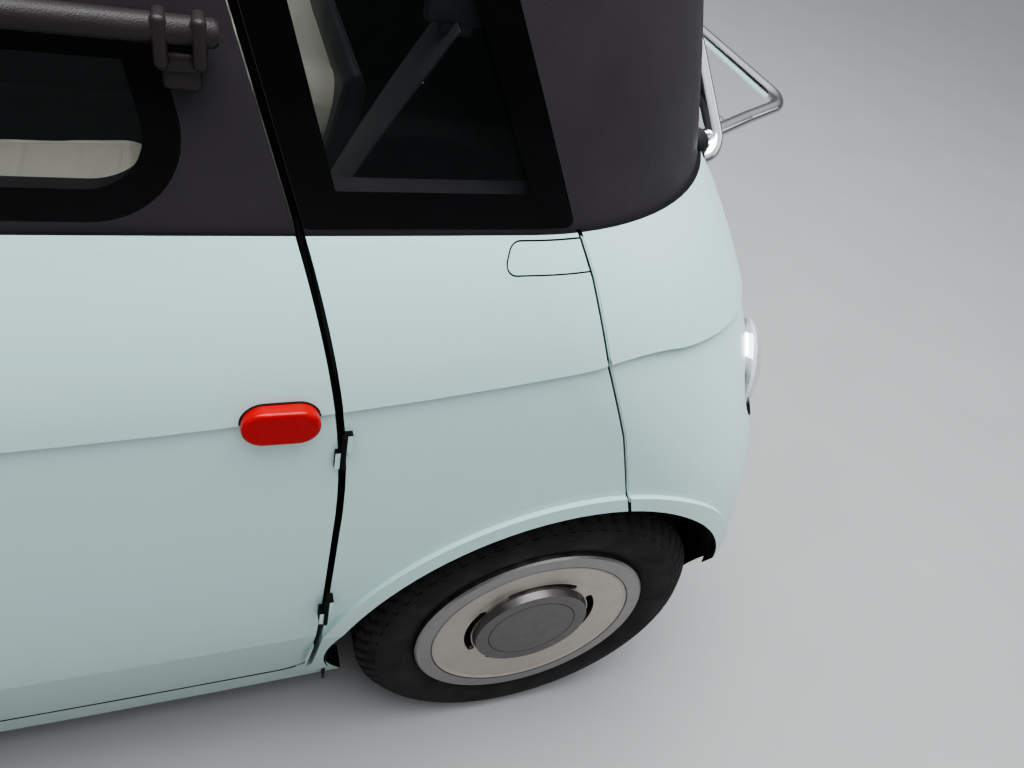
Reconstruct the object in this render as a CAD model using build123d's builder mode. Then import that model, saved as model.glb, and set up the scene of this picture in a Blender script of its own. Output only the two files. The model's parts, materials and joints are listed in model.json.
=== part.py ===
from build123d import *
import os
from math import cos, radians, sin, sqrt

# A two-seat electric microcar. Lengths are millimetres. +X is the car's left, +Y its rear,
# +Z is up, and the origin is on the ground under the middle of the car.

os.makedirs("parts", exist_ok=True)

# Body, overall
half_length = 1267.5
half_width = 698
wheelbase = 1730
belt_height = 1000
gutter_height = 1440
roof_height = 1530
side_bow = 30
cabin_bow = 100
skin = 6
wall = 40
cabin_wall = 34
panel_gap = 5
door_gap = 8
seat_gap = 0.3

# Plan outlines of the lower body: height, side tuck, end tuck, end bow, corner radius
knee_height = 380
sill_tuck = 98
sill_rows = [(120, sill_tuck, 40, 45, 60), (knee_height, 24, 8, 45, 110)]
body_rows = [
    (knee_height, 24, 8, 45, 110),
    (550, 11, 0, 60, 222),
    (700, 6, 32, 90, 320),
    (850, 8, 112, 110, 375),
    (belt_height, 53, 222, 100, 340),
]
# The upper skin overhangs the lower one along a crease, with the same columns
crease_rows = [(800, 0, 74, 105, 370), (900, 12, 142, 108, 370), (belt_height, 53, 222, 100, 340)]
# Plan outlines of the cabin: height, side tuck, front tuck, rear tuck, corner radius
cabin_rows = [
    (belt_height, 58, 237, 227, 335),
    (1220, 98, 447, 310, 265),
    (gutter_height, 148, 667, 398, 200),
]
roof_rows = [
    (gutter_height, 148, 667, 398, 200),
    (1500, 185, 757, 467, 180),
    (roof_height, 270, 890, 590, 150),
]

# The crease, seen from the side, rises from the middle to a crest over each wheel and falls to the
# end: distance from the middle, height
crease_middle = (0, 816)
crease_rise = (790, 864)
crease_crest = (850, 870)
crease_fall = (915, 860)
crease_end = 789

# The gap between side and end panels, from the belt to the arch: distance from the middle, height
end_gap_points = [(741, belt_height + 20), (771, 960), (804, 875), (865, 750), (940, 560), (990, 300)]

# Doors, seen from the side
door_bottom = 200
door_top = 1410
door_half_sill = 517
door_half_waist = 525
door_waist = 640
door_half_shoulder = 516
door_shoulder = 825
door_half_belt = 478
door_half_top = 360
door_sill_corner = 42
door_top_corner = 60
door_lap = 15
hinge_x = 693
door_half_hinge = 521.8
hinge_y = door_half_hinge + door_gap / 2
hinge_radius = 2.8
hinge_heights = (465, 770)
knuckle_length = 24
hinge_tab = 26
hinge_tab_lap = 4

# Door trim: handle, reflector and the bar between the two panes
handle_length = 120
handle_height = 26
handle_y = -430
handle_z = 905
reflector_y = 464.5
reflector_z = 832.5
reflector_length = 72
reflector_height = 42
reflector_rise = 6
trim_edge = 4
bar_height = 1159
bar_half_length = 423
bar_radius = 10
bar_x = 632
clamp_inner_x = 600
clamp_outer_x = 644
clamp_y = 398
clamp_width = 36
clamp_drop = 35
handle_rise = 16

# Hatch cover under the left quarter window, flush in its panel
hatch_points = [(670, 967), (790, 967), (790, 995), (676, 995)]
hatch_radii = [10, 3, 3, 10]
hatch_gap = 1.5

# Wheels
tyre_radius = 278.5
tyre_width = 155
wheel_x = 582
bead_radius = 176
flange_radius = 190
rim_wall = 5
cover_face = 73
cover_back = 60
ring_inner = 164
ring_rise = 3
dish_outer = 158
dish_inner = 112
dish_depth = 5
cap_radius = 96
cap_rise = 6
slot_radius = 104
slot_width = 11
slot_angle = 60
slot_count = 4
hub_face = 30
stub_radius = 15
axle_y = wheelbase / 2
axle_height = tyre_radius
arch_radius = 325
flare_width = 27
flare_depth = 7
flare_reach = 80
well_inner_x = 350
liner_wall = 4
liner_low = 200
liner_wall_low = 345
liner_out = 640
bead_half = 64
shoulder_half = 67
shoulder_drop = 17
tread_flat = 52
bolt_count = 4
bolt_circle = 108
bolt_hole = 7

# Running gear. Distances across are from the middle of the car.
knuckle_near = 505
knuckle_far = 560
knuckle_half = 38
knuckle_low = 200
knuckle_high = 365
bracket_near = 430
bracket_depth = 25
stub_end = 604
arm_half = 25
arm_depth = 20
strut_x = 456
strut_radius = 24
strut_gap = 1
beam_tube = 32
beam_end = 500

# Floor and heavy blocks
floor_low = 140
floor_high = 190
floor_half_width = 545
floor_half_end = 335
floor_half_middle = 510
beam_y = 1110
beam_high = 300
beam_half_width = 280
beam_depth = 50
trailing_x = 300
trailing_length = 330

# Seats
# Seat side profile: distance behind the middle, height
seat_x = 285
seat_width = 430
seat_low = 290.6
seat_points = [(-40, seat_low), (400, seat_low), (560, 1080), (470, 1110), (350, 500), (-60, 460)]
seat_radii = [30, 30, 40, 40, 60, 50]

# Battery under the seats and drive unit between the front wheels: size, place of the middle
battery_size = (980, 400, 100)
battery_y = 180
drive_size = (340, 300, 260)
shaft_radius = 12
shaft_end = 485

# Dashboard and steering
dash_half_width = 520
dash_points = [(-700, 720), (-500, 700), (-430, 800), (-480, 900), (-760, 900)]
dash_radii = [30, 40, 40, 40, 20]
wheel_centre = (290, -330, 880)
column_tilt = 28
steering_radius = 172
steering_tube = 14
column_radius = 22
column_length = 150
steering_hub = 42
steering_hub_depth = 40
dash_wing_y = -640
dash_wing_z = 800
dash_wing_depth = 90
dash_wing_height = 140

# Mirrors: foot on the wing, elbow and head
mirror_foot = (630, -600, 985)
mirror_elbow = (700, -600, 1030)
mirror_head = (765, -600, 1060)
mirror_arm = 10
mirror_bend = 25
mirror_radius = 78
mirror_depth = 46

# Wiper arm and blade: distance across, height above the belt
wiper_points = [(-60, 45), (-250, 62), (-430, 75)]
wiper_standoff = 15
wiper_radius = 6
wiper_pivot = 24
wiper_bends = [20, 40]

# Windows. Each is an outline of corners with a radius each, in the view that it is cut in, with
# the width of the black border that laps the frame: view, corners, radii, border
windows = {
    "door_low": ("side", [(-410, 1008), (410, 1008), (380, 1154), (-380, 1154)], [70, 70, 8, 8], 16),
    "door_high": ("side", [(-376, 1166), (376, 1166), (332, 1384), (-332, 1384)], [8, 8, 30, 30], 16),
    "quarter_rear": ("side", [(489, 1003), (744, 1003), (562, 1372), (383, 1372)], [4, 6, 25, 10], 28),
    "quarter_front": ("side", [(-744, 1003), (-489, 1003), (-408, 1290), (-480, 1290)], [6, 4, 10, 15], 24),
    "windscreen": ("front", [(-520, 1012), (520, 1012), (430, 1418), (-430, 1418)], [50, 50, 40, 40], 32),
    "rear_window": ("rear", [(-460, 1040), (460, 1040), (390, 1404), (-390, 1404)], [50, 50, 40, 40], 32),
    "roof_glass": ("top", [(-390, -390), (390, -390), (390, 640), (-390, 640)], [60, 60, 60, 60], 32),
}

# Lamps: distance from the middle, end (1 is the rear), end tuck, height, radius, depth, dome,
# outward turn, tilt
lamps = {
    "tail_lamps": (500, 1, 112, 692, 76, 34, 28, 22, 8),
    "headlamps": (490, -1, 104, 735, 92, 34, 24, 22, 8),
}
lamp_edge = 8

# Rack of round tube behind the rear window
rack_tube = 11
rack_thin_tube = 8
rack_height = 1000
rack_platform = [(420, 975), (330, 1115), (268, 1218)]
rack_platform_radii = [60, 70, 70, 60]
rack_back = [(418, 965, 985), (418, 1036, 975), (290, 985, 1130), (230, 985, 1200)]
rack_back_radii = [30, 60, 60, 60, 60, 30]
rack_inner_y = 1060
rack_inner_half = 360


# How far cuts reach past the body
side_reach = half_width + 50
end_reach = half_length + 50


def plan_outline(height, half, front, rear, end_bow, corner):
    """A rounded plan outline at one height, from the middle to the side, front and rear."""
    side_x = half - side_bow
    front_y = front - end_bow
    rear_y = rear - end_bow
    middle_y = (rear_y - front_y) / 2
    with BuildSketch(Plane.XY.offset(height)) as outline:
        with BuildLine():
            ThreePointArc((-side_x, -front_y), (0, -front), (side_x, -front_y))
            ThreePointArc((side_x, -front_y), (half, middle_y), (side_x, rear_y))
            ThreePointArc((side_x, rear_y), (0, rear), (-side_x, rear_y))
            ThreePointArc((-side_x, rear_y), (-half, middle_y), (-side_x, -front_y))
        make_face()
        fillet(outline.vertices(), corner)
    return outline.sketch


def body_solid(rows, inset=0, ruled=False):
    """The lower body between its first and last rows, drawn in by the inset."""
    outlines = []
    for height, side_tuck, end_tuck, end_bow, corner in rows:
        half = half_width - side_tuck - inset
        reach = half_length - end_tuck - inset
        outlines.append(plan_outline(height, half, reach, reach, end_bow, corner - inset))
    loft(outlines, ruled=ruled)


def cabin_solid(rows, inset=0, drop=0, mode=Mode.ADD):
    """The cabin or roof between its first and last rows, drawn in and lowered."""
    outlines = []
    for height, side_tuck, front_tuck, rear_tuck, corner in rows:
        half = half_width - side_tuck - inset
        front = half_length - front_tuck - inset
        rear = half_length - rear_tuck - inset
        lowered = height if height <= gutter_height else height - drop
        outlines.append(plan_outline(lowered, half, front, rear, cabin_bow, corner - inset))
    loft(outlines, mode=mode)


def save(piece, name):
    """Label a finished piece and write its file."""
    piece.part.label = name
    export_step(piece.part, f"parts/{name}.step")


def door_outline(grow=0):
    """The door seen from the side, grown outwards all round."""
    with BuildSketch(Plane.YZ) as outline:
        with BuildLine():
            for end in (1, -1):
                Line((0, door_bottom), (end * door_half_sill, door_bottom))
                Line((end * door_half_sill, door_bottom), (end * door_half_waist, door_waist))
                ThreePointArc(
                    (end * door_half_waist, door_waist),
                    (end * door_half_shoulder, door_shoulder),
                    (end * door_half_belt, belt_height),
                )
                Line((end * door_half_belt, belt_height), (end * door_half_top, door_top))
                Line((end * door_half_top, door_top), (0, door_top))
        make_face()
        corners = outline.vertices().filter_by(lambda v: abs(v.X) > 1).sort_by(Axis.Y)
        fillet(corners[:2], door_sill_corner)
        corners = outline.vertices().filter_by(lambda v: abs(v.X) > 1).sort_by(Axis.Y)
        fillet(corners[-2:], door_top_corner)
        if grow:
            offset(amount=grow, mode=Mode.REPLACE)
    return outline.sketch


def window_outline(name, grow=0):
    """One window's outline in its own view, grown outwards by a margin."""
    view, corners, radii, border = windows[name]
    planes = {"side": Plane.YZ, "front": Plane.XZ, "rear": Plane.XZ, "top": Plane.XY.offset(gutter_height)}
    with BuildSketch(planes[view]) as outline:
        with BuildLine():
            FilletPolyline(*corners, radius=radii, close=True)
        make_face()
        if grow:
            offset(amount=grow, mode=Mode.REPLACE)
    return outline.sketch


def window_prism(name, grow=0):
    """Everything that one window's outline sweeps over, on the left or along the middle."""
    directions = {"side": (1, 0, 0), "front": (0, -1, 0), "rear": (0, 1, 0), "top": (0, 0, 1)}
    direction = directions[windows[name][0]]
    extrude(window_outline(name, grow), amount=end_reach, dir=direction)


def tyre_arches(radius, inner_x=well_inner_x):
    """A cylinder across the car at each axle, with the wide middle left alone."""
    for side in (1, -1):
        with BuildSketch(Plane.YZ.offset(side * inner_x)) as circles:
            with Locations((axle_y, axle_height), (-axle_y, axle_height)):
                Circle(radius)
        extrude(circles.sketch, amount=side * (side_reach - inner_x))


def end_region(end, gap=0):
    """The stretch of body beyond an end panel's edge, seen from the side."""
    points = [(end * (y - gap), z) for y, z in end_gap_points]
    top = points[0][1]
    with BuildSketch(Plane.YZ) as region:
        with BuildLine():
            Polyline(*points, (points[-1][0], 0), (end * end_reach, 0), (end * end_reach, top), points[0])
        make_face()
    return region.sketch


def hatch_outline(grow=0):
    """The hatch cover seen from the side, grown outwards by a margin."""
    with BuildSketch(Plane.YZ) as outline:
        with BuildLine():
            FilletPolyline(*hatch_points, radius=hatch_radii, close=True)
        make_face()
        if grow:
            offset(amount=grow, mode=Mode.REPLACE)
    return outline.sketch


def hinge_knuckle(side, height, rise, door=False):
    """One knuckle of a door hinge on its vertical axis, with a tab to the panel that carries it."""
    away = -1 if door else 1
    centre = height + rise
    with Locations((side * hinge_x, side * hinge_y, centre)):
        Cylinder(hinge_radius, knuckle_length)
    tab_length = door_gap / 2 + hinge_tab_lap
    with Locations((side * (hinge_x - hinge_tab / 2), side * (hinge_y + away * tab_length / 2), centre)):
        Box(hinge_tab, tab_length, knuckle_length)


def lamp_plane(name, side):
    """A lamp's mounting plane on the skin, facing outwards along its own axis."""
    x, end, tuck, height, radius, depth, dome, turn, tilt = lamps[name]
    reach = half_length - tuck
    direction = (side * sin(radians(turn)), end * cos(radians(turn)), sin(radians(tilt)))
    return Plane(origin=(side * x, end * reach, height), x_dir=(0, 0, 1), z_dir=direction)


def screen_y(height, x):
    """The front face of the cabin at one height and distance across."""
    low, high = cabin_rows[0], cabin_rows[1]
    share = (height - low[0]) / (high[0] - low[0])
    tuck = low[2] + share * (high[2] - low[2])
    side_x = half_width - low[1] - side_bow
    return -(half_length - tuck - cabin_bow * (x / side_x) ** 2)


def sweep_tube(points, radii, radius):
    """A round tube along straight runs joined by arcs."""
    with BuildLine() as path:
        FilletPolyline(*points, radius=radii)
    with BuildSketch(Plane(origin=path.line @ 0, z_dir=path.line % 0)) as section:
        Circle(radius)
    sweep(section.sketch, path=path.line)


# The lower body's solids, which the panels are cut from
with BuildPart() as body_outer:
    body_solid(sill_rows, ruled=True)
    body_solid(body_rows)
with BuildPart() as crease_lip:
    body_solid(crease_rows)
    with BuildSketch(Plane.YZ):
        with BuildLine():
            front_points = [(-y, z) for y, z in (crease_rise, crease_crest, crease_fall)]
            ThreePointArc(front_points[0], crease_middle, crease_rise)
            ThreePointArc(*front_points)
            ThreePointArc(crease_rise, crease_crest, crease_fall)
            Polyline(
                crease_fall,
                (end_reach, crease_end),
                (end_reach, knee_height),
                (-end_reach, knee_height),
                (-end_reach, crease_end),
                front_points[2],
            )
        make_face()
    extrude(amount=side_reach, both=True, mode=Mode.SUBTRACT)
with BuildPart() as body_full:
    add(body_outer.part)
    add(crease_lip.part)
with BuildPart() as body_skin:
    body_solid(sill_rows, skin, ruled=True)
    body_solid(body_rows, skin)
with BuildPart() as body_inner:
    body_solid(sill_rows, wall, ruled=True)
    body_solid(body_rows, wall)
with BuildPart() as body_hollow:
    add(body_inner.part)
    for end in (1, -1):
        with Locations((0, end * (beam_y + seat_gap), (floor_high + beam_high) / 2)):
            pad_align = (Align.CENTER, Align.MIN if end > 0 else Align.MAX, Align.CENTER)
            pad = (2 * beam_half_width, half_length - beam_y, beam_high - floor_high)
            Box(*pad, align=pad_align, mode=Mode.SUBTRACT)
with BuildPart() as arch_space:
    tyre_arches(arch_radius)
with BuildPart() as flare_band:
    tyre_arches(arch_radius + flare_width)
with BuildPart() as flares:
    body_solid(sill_rows, -flare_depth, ruled=True)
    body_solid(body_rows, -flare_depth)
    add(flare_band.part, mode=Mode.INTERSECT)
    Box(2 * (half_width - flare_reach), 2 * end_reach, roof_height, mode=Mode.SUBTRACT)
with BuildPart() as body_shell:
    add(body_full.part)
    add(flares.part)
    add(body_hollow.part, mode=Mode.SUBTRACT)
    add(arch_space.part, mode=Mode.SUBTRACT)

# The strip that the outer skin of each door laps over at its edges, over body and frame
with BuildPart() as door_edge:
    extrude(door_outline(door_gap / 2), amount=side_reach)
    extrude(door_outline(-door_lap), amount=side_reach, mode=Mode.SUBTRACT)
with BuildPart() as door_lap_strip:
    add(door_edge.part)
    add(body_skin.part, mode=Mode.INTERSECT)

# End panels, each with its half of the wheel arches and a pad on the bumper beam
for end, name, lamp in ((-1, "front_panel", "headlamps"), (1, "rear_panel", "tail_lamps")):
    with BuildPart() as end_panel:
        extrude(end_region(end), amount=side_reach, both=True)
        add(body_shell.part, mode=Mode.INTERSECT)
        for side in (1, -1):
            with BuildSketch(lamp_plane(lamp, side)) as hole:
                Circle(lamps[lamp][4] + seat_gap)
            extrude(hole.sketch, amount=2 * wall, both=True, mode=Mode.SUBTRACT)
    save(end_panel, name)

# The lamps are drums let into the end panels, with a domed lens
for lamp in lamps:
    x, end, tuck, height, radius, depth, dome, turn, tilt = lamps[lamp]
    crown = dome - lamp_edge
    sphere = (radius**2 + crown**2) / (2 * crown)
    half_way = (dome - sphere + sqrt(sphere**2 - (radius / 2) ** 2), radius / 2)
    with BuildPart() as pair:
        for side in (1, -1):
            face = lamp_plane(lamp, side)
            with BuildSketch(Plane(origin=face.origin, x_dir=face.z_dir, z_dir=face.x_dir)) as half_section:
                with BuildLine():
                    Polyline((dome, 0), (-depth, 0), (-depth, radius), (lamp_edge, radius))
                    ThreePointArc((lamp_edge, radius), half_way, (dome, 0))
                make_face()
            revolve(half_section.sketch, axis=Axis(face.origin, face.z_dir))
    save(pair, lamp)

# Each side is one ring: front wing, sill and quarter, with a ledge beside the floor
with BuildPart() as ring_blank:
    add(body_shell.part)
    with Locations((floor_half_width + seat_gap, 0, (floor_low + floor_high) / 2)):
        ledge = half_width - sill_tuck - floor_half_width
        ledge_size = (ledge, 2 * floor_half_middle, floor_high - floor_low)
        Box(*ledge_size, align=(Align.MIN, Align.CENTER, Align.CENTER))
    split(bisect_by=Plane.YZ, keep=Keep.TOP)
    for end in (1, -1):
        extrude(end_region(end, panel_gap), amount=side_reach, mode=Mode.SUBTRACT)
    extrude(door_outline(door_gap), amount=side_reach, mode=Mode.SUBTRACT)

# The hatch cover lies flush in a pocket of the left quarter, up to the rear panel's gap
with BuildPart() as hatch_pocket:
    extrude(hatch_outline(hatch_gap), amount=side_reach)
    add(body_skin.part, mode=Mode.SUBTRACT)
with BuildPart() as hatch_cover:
    extrude(hatch_outline(), amount=side_reach)
    add(body_full.part, mode=Mode.INTERSECT)
    add(body_skin.part, mode=Mode.SUBTRACT)
    extrude(end_region(1, panel_gap), amount=side_reach, mode=Mode.SUBTRACT)
save(hatch_cover, "hatch_cover")
with BuildPart() as left_side:
    add(ring_blank.part)
    add(hatch_pocket.part, mode=Mode.SUBTRACT)
    for height in hinge_heights:
        hinge_knuckle(1, height, knuckle_length + seat_gap)
save(left_side, "left_side")
with BuildPart() as right_side:
    mirror(ring_blank.part, about=Plane.YZ)
    for height in hinge_heights:
        hinge_knuckle(-1, height, knuckle_length + seat_gap)
save(right_side, "right_side")

# The left door's painted panel
with BuildPart() as door_blank:
    extrude(door_outline(), amount=side_reach)
    add(body_shell.part, mode=Mode.INTERSECT)
    add(door_lap_strip.part, mode=Mode.SUBTRACT)
for side, name in ((1, "left_door"), (-1, "right_door")):
    with BuildPart() as door:
        if side > 0:
            add(door_blank.part)
        else:
            mirror(door_blank.part, about=Plane.YZ)
        for height in hinge_heights:
            hinge_knuckle(side, height, 0, door=True)
    save(door, name)

# Cabin
with BuildPart() as cabin_outer:
    cabin_solid(cabin_rows)
    cabin_solid(roof_rows)
with BuildPart() as cabin_skin:
    cabin_solid(cabin_rows, skin)
    cabin_solid(roof_rows, skin, skin)
with BuildPart() as cabin_inner:
    cabin_solid(cabin_rows, cabin_wall)
    cabin_solid(roof_rows, cabin_wall, cabin_wall)
with BuildPart() as cabin_shell:
    add(cabin_outer.part)
    add(cabin_inner.part, mode=Mode.SUBTRACT)

# What the panes and their openings take out of the cabin shell
with BuildPart() as window_cuts:
    for name in windows:
        window_prism(name, seat_gap)
    add(cabin_skin.part, mode=Mode.SUBTRACT)
    for name in windows:
        window_prism(name, -windows[name][3])
with BuildPart() as left_half_frame:
    add(cabin_shell.part)
    add(window_cuts.part, mode=Mode.SUBTRACT)
    split(bisect_by=Plane.YZ, keep=Keep.TOP)
with BuildPart() as cabin_frame:
    add(left_half_frame.part)
    extrude(door_outline(door_gap), amount=side_reach, mode=Mode.SUBTRACT)
    mirror(about=Plane.YZ)
save(cabin_frame, "cabin_frame")

with BuildPart() as frame_lap_strip:
    add(door_edge.part)
    add(cabin_skin.part, mode=Mode.INTERSECT)
with BuildPart() as left_door_frame:
    extrude(door_outline(), amount=side_reach)
    add(left_half_frame.part, mode=Mode.INTERSECT)
    add(frame_lap_strip.part, mode=Mode.SUBTRACT)
save(left_door_frame, "left_door_frame")
with BuildPart() as right_door_frame:
    mirror(left_door_frame.part, about=Plane.YZ)
save(right_door_frame, "right_door_frame")

# Panes. The quarter windows are two pairs in one node.
with BuildPart() as pane_layer:
    add(cabin_outer.part)
    cabin_solid(cabin_rows, skin - seat_gap, mode=Mode.SUBTRACT)
    cabin_solid(roof_rows, skin - seat_gap, skin - seat_gap, mode=Mode.SUBTRACT)
for name in ("windscreen", "rear_window", "roof_glass"):
    with BuildPart() as pane:
        window_prism(name)
        add(pane_layer.part, mode=Mode.INTERSECT)
    save(pane, name)
with BuildPart() as quarter_windows:
    window_prism("quarter_rear")
    window_prism("quarter_front")
    add(pane_layer.part, mode=Mode.INTERSECT)
    mirror(about=Plane.YZ)
save(quarter_windows, "quarter_windows")
with BuildPart() as left_door_glass:
    window_prism("door_low")
    window_prism("door_high")
    add(pane_layer.part, mode=Mode.INTERSECT)
save(left_door_glass, "left_door_glass")
with BuildPart() as right_door_glass:
    mirror(left_door_glass.part, about=Plane.YZ)
save(right_door_glass, "right_door_glass")

# Trim that stands on a door's skin: the handle by its free edge and the red reflector at the rear
for side, name in ((1, "left"), (-1, "right")):
    with BuildPart() as handle:
        with BuildSketch(Plane.YZ.offset(side * (half_width - 2 * wall))):
            with Locations((side * handle_y, handle_z)):
                SlotOverall(handle_length, handle_height)
        extrude(amount=side * (2 * wall + handle_rise))
        fillet(handle.faces().sort_by(Axis.X)[-1 if side > 0 else 0].edges(), trim_edge)
        add(body_full.part, mode=Mode.SUBTRACT)
    save(handle, f"{name}_handle")
    with BuildPart() as reflector:
        with BuildSketch(Plane.YZ.offset(side * (half_width - 2 * wall))):
            with Locations((reflector_y, reflector_z)):
                SlotOverall(reflector_length, reflector_height)
        extrude(amount=side * (2 * wall + reflector_rise))
        fillet(reflector.faces().sort_by(Axis.X)[-1 if side > 0 else 0].edges(), trim_edge)
        add(body_full.part, mode=Mode.SUBTRACT)
    save(reflector, f"{name}_reflector")
    with BuildPart() as window_bar:
        with BuildSketch(Plane.XZ.offset(-bar_half_length)):
            with Locations((side * bar_x, bar_height)):
                Circle(bar_radius)
        extrude(amount=2 * bar_half_length)
        clamp_middle_x = side * (clamp_inner_x + clamp_outer_x) / 2
        with Locations(*[(clamp_middle_x, end * clamp_y, bar_height - clamp_drop / 2) for end in (1, -1)]):
            Box(clamp_outer_x - clamp_inner_x, clamp_width, clamp_drop + 2 * bar_radius)
        add(cabin_outer.part, mode=Mode.SUBTRACT)
    save(window_bar, f"{name}_window_bar")

# Wheel arch liners: half tubes with a wall on the cabin side
with BuildPart() as liner_hollow:
    tyre_arches(arch_radius - seat_gap - liner_wall, well_inner_x + liner_wall)
with BuildPart() as arch_liners:
    tyre_arches(arch_radius - seat_gap)
    add(body_skin.part, mode=Mode.INTERSECT)
    add(liner_hollow.part, mode=Mode.SUBTRACT)
    Box(4 * half_width, 4 * half_length, 2 * liner_low, mode=Mode.SUBTRACT)
    Box(2 * (well_inner_x + liner_wall), 4 * half_length, 2 * liner_wall_low, mode=Mode.SUBTRACT)
    for side in (1, -1):
        with Locations((side * (liner_out + half_width), 0, roof_height / 2)):
            Box(2 * half_width, 4 * half_length, 2 * roof_height, mode=Mode.SUBTRACT)
save(arch_liners, "arch_liners")

# Wheels, drawn once about the X axis with the outer face towards +X
tread_half = tyre_width / 2
with BuildPart() as tyre_form:
    with BuildSketch(Plane.XY):
        with BuildLine():
            for face in (1, -1):
                Line((0, bead_radius), (face * bead_half, bead_radius))
                Line((face * bead_half, bead_radius), (face * bead_half, flange_radius + 2))
                ThreePointArc(
                    (face * bead_half, flange_radius + 2),
                    (face * tread_half, (flange_radius + tyre_radius) / 2),
                    (face * shoulder_half, tyre_radius - shoulder_drop),
                )
                Line((face * shoulder_half, tyre_radius - shoulder_drop), (face * tread_flat, tyre_radius))
                Line((face * tread_flat, tyre_radius), (0, tyre_radius))
        make_face()
    revolve(axis=Axis.X)
with BuildPart() as wheel_form:
    with BuildSketch(Plane.XY):
        with BuildLine():
            Polyline(
                (-bead_half, bead_radius - rim_wall),
                (cover_back, bead_radius - rim_wall),
                (cover_back, 0),
                (cover_face + cap_rise, 0),
                (cover_face + cap_rise, cap_radius - cap_rise / 2),
                (cover_face - dish_depth, cap_radius),
                (cover_face - dish_depth, dish_inner),
                (cover_face, dish_outer),
                (cover_face + ring_rise, ring_inner),
                (cover_face + ring_rise, flange_radius - ring_rise),
                (cover_face, flange_radius),
                (bead_half + seat_gap, flange_radius),
                (bead_half + seat_gap, bead_radius - seat_gap),
                (-bead_half - seat_gap, bead_radius - seat_gap),
                (-bead_half - seat_gap, flange_radius),
                (-bead_half - rim_wall, flange_radius),
                (-bead_half - rim_wall, bead_radius - rim_wall),
                (-bead_half, bead_radius - rim_wall),
            )
        make_face()
        with BuildLine():
            Polyline(
                (hub_face, bead_radius - rim_wall / 2),
                (hub_face - 2 * rim_wall, bead_radius - rim_wall / 2),
                (hub_face - 2 * rim_wall, stub_radius + seat_gap),
                (hub_face, stub_radius + seat_gap),
                (hub_face, bead_radius - rim_wall / 2),
            )
        make_face()
    revolve(axis=Axis.X)
    with Locations(Plane(origin=(hub_face, 0, 0), z_dir=(1, 0, 0))):
        with PolarLocations(bolt_circle / 2, bolt_count):
            Cylinder(bolt_hole, 6 * rim_wall, mode=Mode.SUBTRACT)
    with BuildSketch(Plane.YZ.offset(cover_back)):
        for index in range(slot_count):
            start = index * 360 / slot_count - slot_angle / 2
            with BuildLine() as middle:
                CenterArc((0, 0), slot_radius, start, slot_angle)
            SlotArc(middle.edge(), slot_width)
    extrude(amount=2 * (cover_face - cover_back), mode=Mode.SUBTRACT)
wheel_places = {
    "front_left": (1, -1),
    "front_right": (-1, -1),
    "rear_left": (1, 1),
    "rear_right": (-1, 1),
}
for place, (side, end) in wheel_places.items():
    spot = Location((side * wheel_x, end * axle_y, axle_height), (0, 0, 0 if side > 0 else 180))
    for form, kind in ((tyre_form, "tyre"), (wheel_form, "wheel")):
        with BuildPart() as placed:
            with Locations(spot):
                add(form.part)
        save(placed, f"{place}_{kind}")

# Front knuckles with their stub axles
for side, name in ((1, "left"), (-1, "right")):
    with BuildPart() as knuckle:
        middle_x = side * (knuckle_near + knuckle_far) / 2
        with Locations((middle_x, -axle_y, (knuckle_low + knuckle_high) / 2)):
            Box(knuckle_far - knuckle_near, 2 * knuckle_half, knuckle_high - knuckle_low)
        with Locations((side * (bracket_near + knuckle_far) / 2, -axle_y, knuckle_high - bracket_depth / 2)):
            Box(knuckle_far - bracket_near, 2 * knuckle_half, bracket_depth)
        with BuildSketch(Plane.YZ.offset(side * knuckle_near)):
            with Locations((-axle_y, axle_height)):
                Circle(stub_radius)
        extrude(amount=side * (stub_end - knuckle_near))
    save(knuckle, f"{name}_knuckle")

# Lower arms, struts and the rear axle beam with its stubs
with BuildPart() as suspension:
    for side in (1, -1):
        arm_near = floor_half_end + seat_gap
        arm_middle = side * (arm_near + knuckle_far) / 2
        with Locations((arm_middle, -axle_y, knuckle_low - seat_gap - arm_depth / 2)):
            Box(knuckle_far - arm_near, 2 * arm_half, arm_depth)
        with BuildSketch(Plane.XY.offset(knuckle_high + seat_gap)):
            with Locations((side * strut_x, -axle_y)):
                Circle(strut_radius)
        strut_top = axle_height + arch_radius - seat_gap - liner_wall - strut_gap
        extrude(amount=strut_top - knuckle_high - seat_gap)
    with BuildSketch(Plane.YZ.offset(-beam_end)):
        with Locations((axle_y, axle_height)):
            Circle(beam_tube)
    extrude(amount=2 * beam_end)
    with BuildSketch(Plane.YZ.offset(-stub_end)):
        with Locations((axle_y, axle_height)):
            Circle(stub_radius)
    extrude(amount=2 * stub_end)
    for side in (1, -1):
        with Locations((side * trailing_x, axle_y - trailing_length / 2, axle_height)):
            Box(2 * beam_tube, trailing_length, beam_tube)
        foot_low, foot_high = floor_high + seat_gap, axle_height + beam_tube / 2
        with Locations((side * trailing_x, axle_y - trailing_length, (foot_low + foot_high) / 2)):
            Box(2 * beam_tube, beam_tube, foot_high - foot_low)
save(suspension, "suspension")

# Floor frame, with a bumper beam at each end
with BuildPart() as floor_frame:
    with Locations((0, 0, (floor_low + floor_high) / 2)):
        Box(2 * floor_half_width, 2 * floor_half_middle, floor_high - floor_low)
        Box(2 * floor_half_end, 2 * beam_y, floor_high - floor_low)
    for end in (1, -1):
        with Locations((0, end * (beam_y - beam_depth / 2), (floor_low + beam_high) / 2)):
            Box(2 * beam_half_width, beam_depth, beam_high - floor_low)
save(floor_frame, "floor_frame")

with BuildPart() as battery:
    with Locations((0, battery_y, floor_high + seat_gap + battery_size[2] / 2)):
        Box(*battery_size)
    fillet(battery.edges().filter_by(Axis.Z), 20)
save(battery, "battery")

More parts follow.
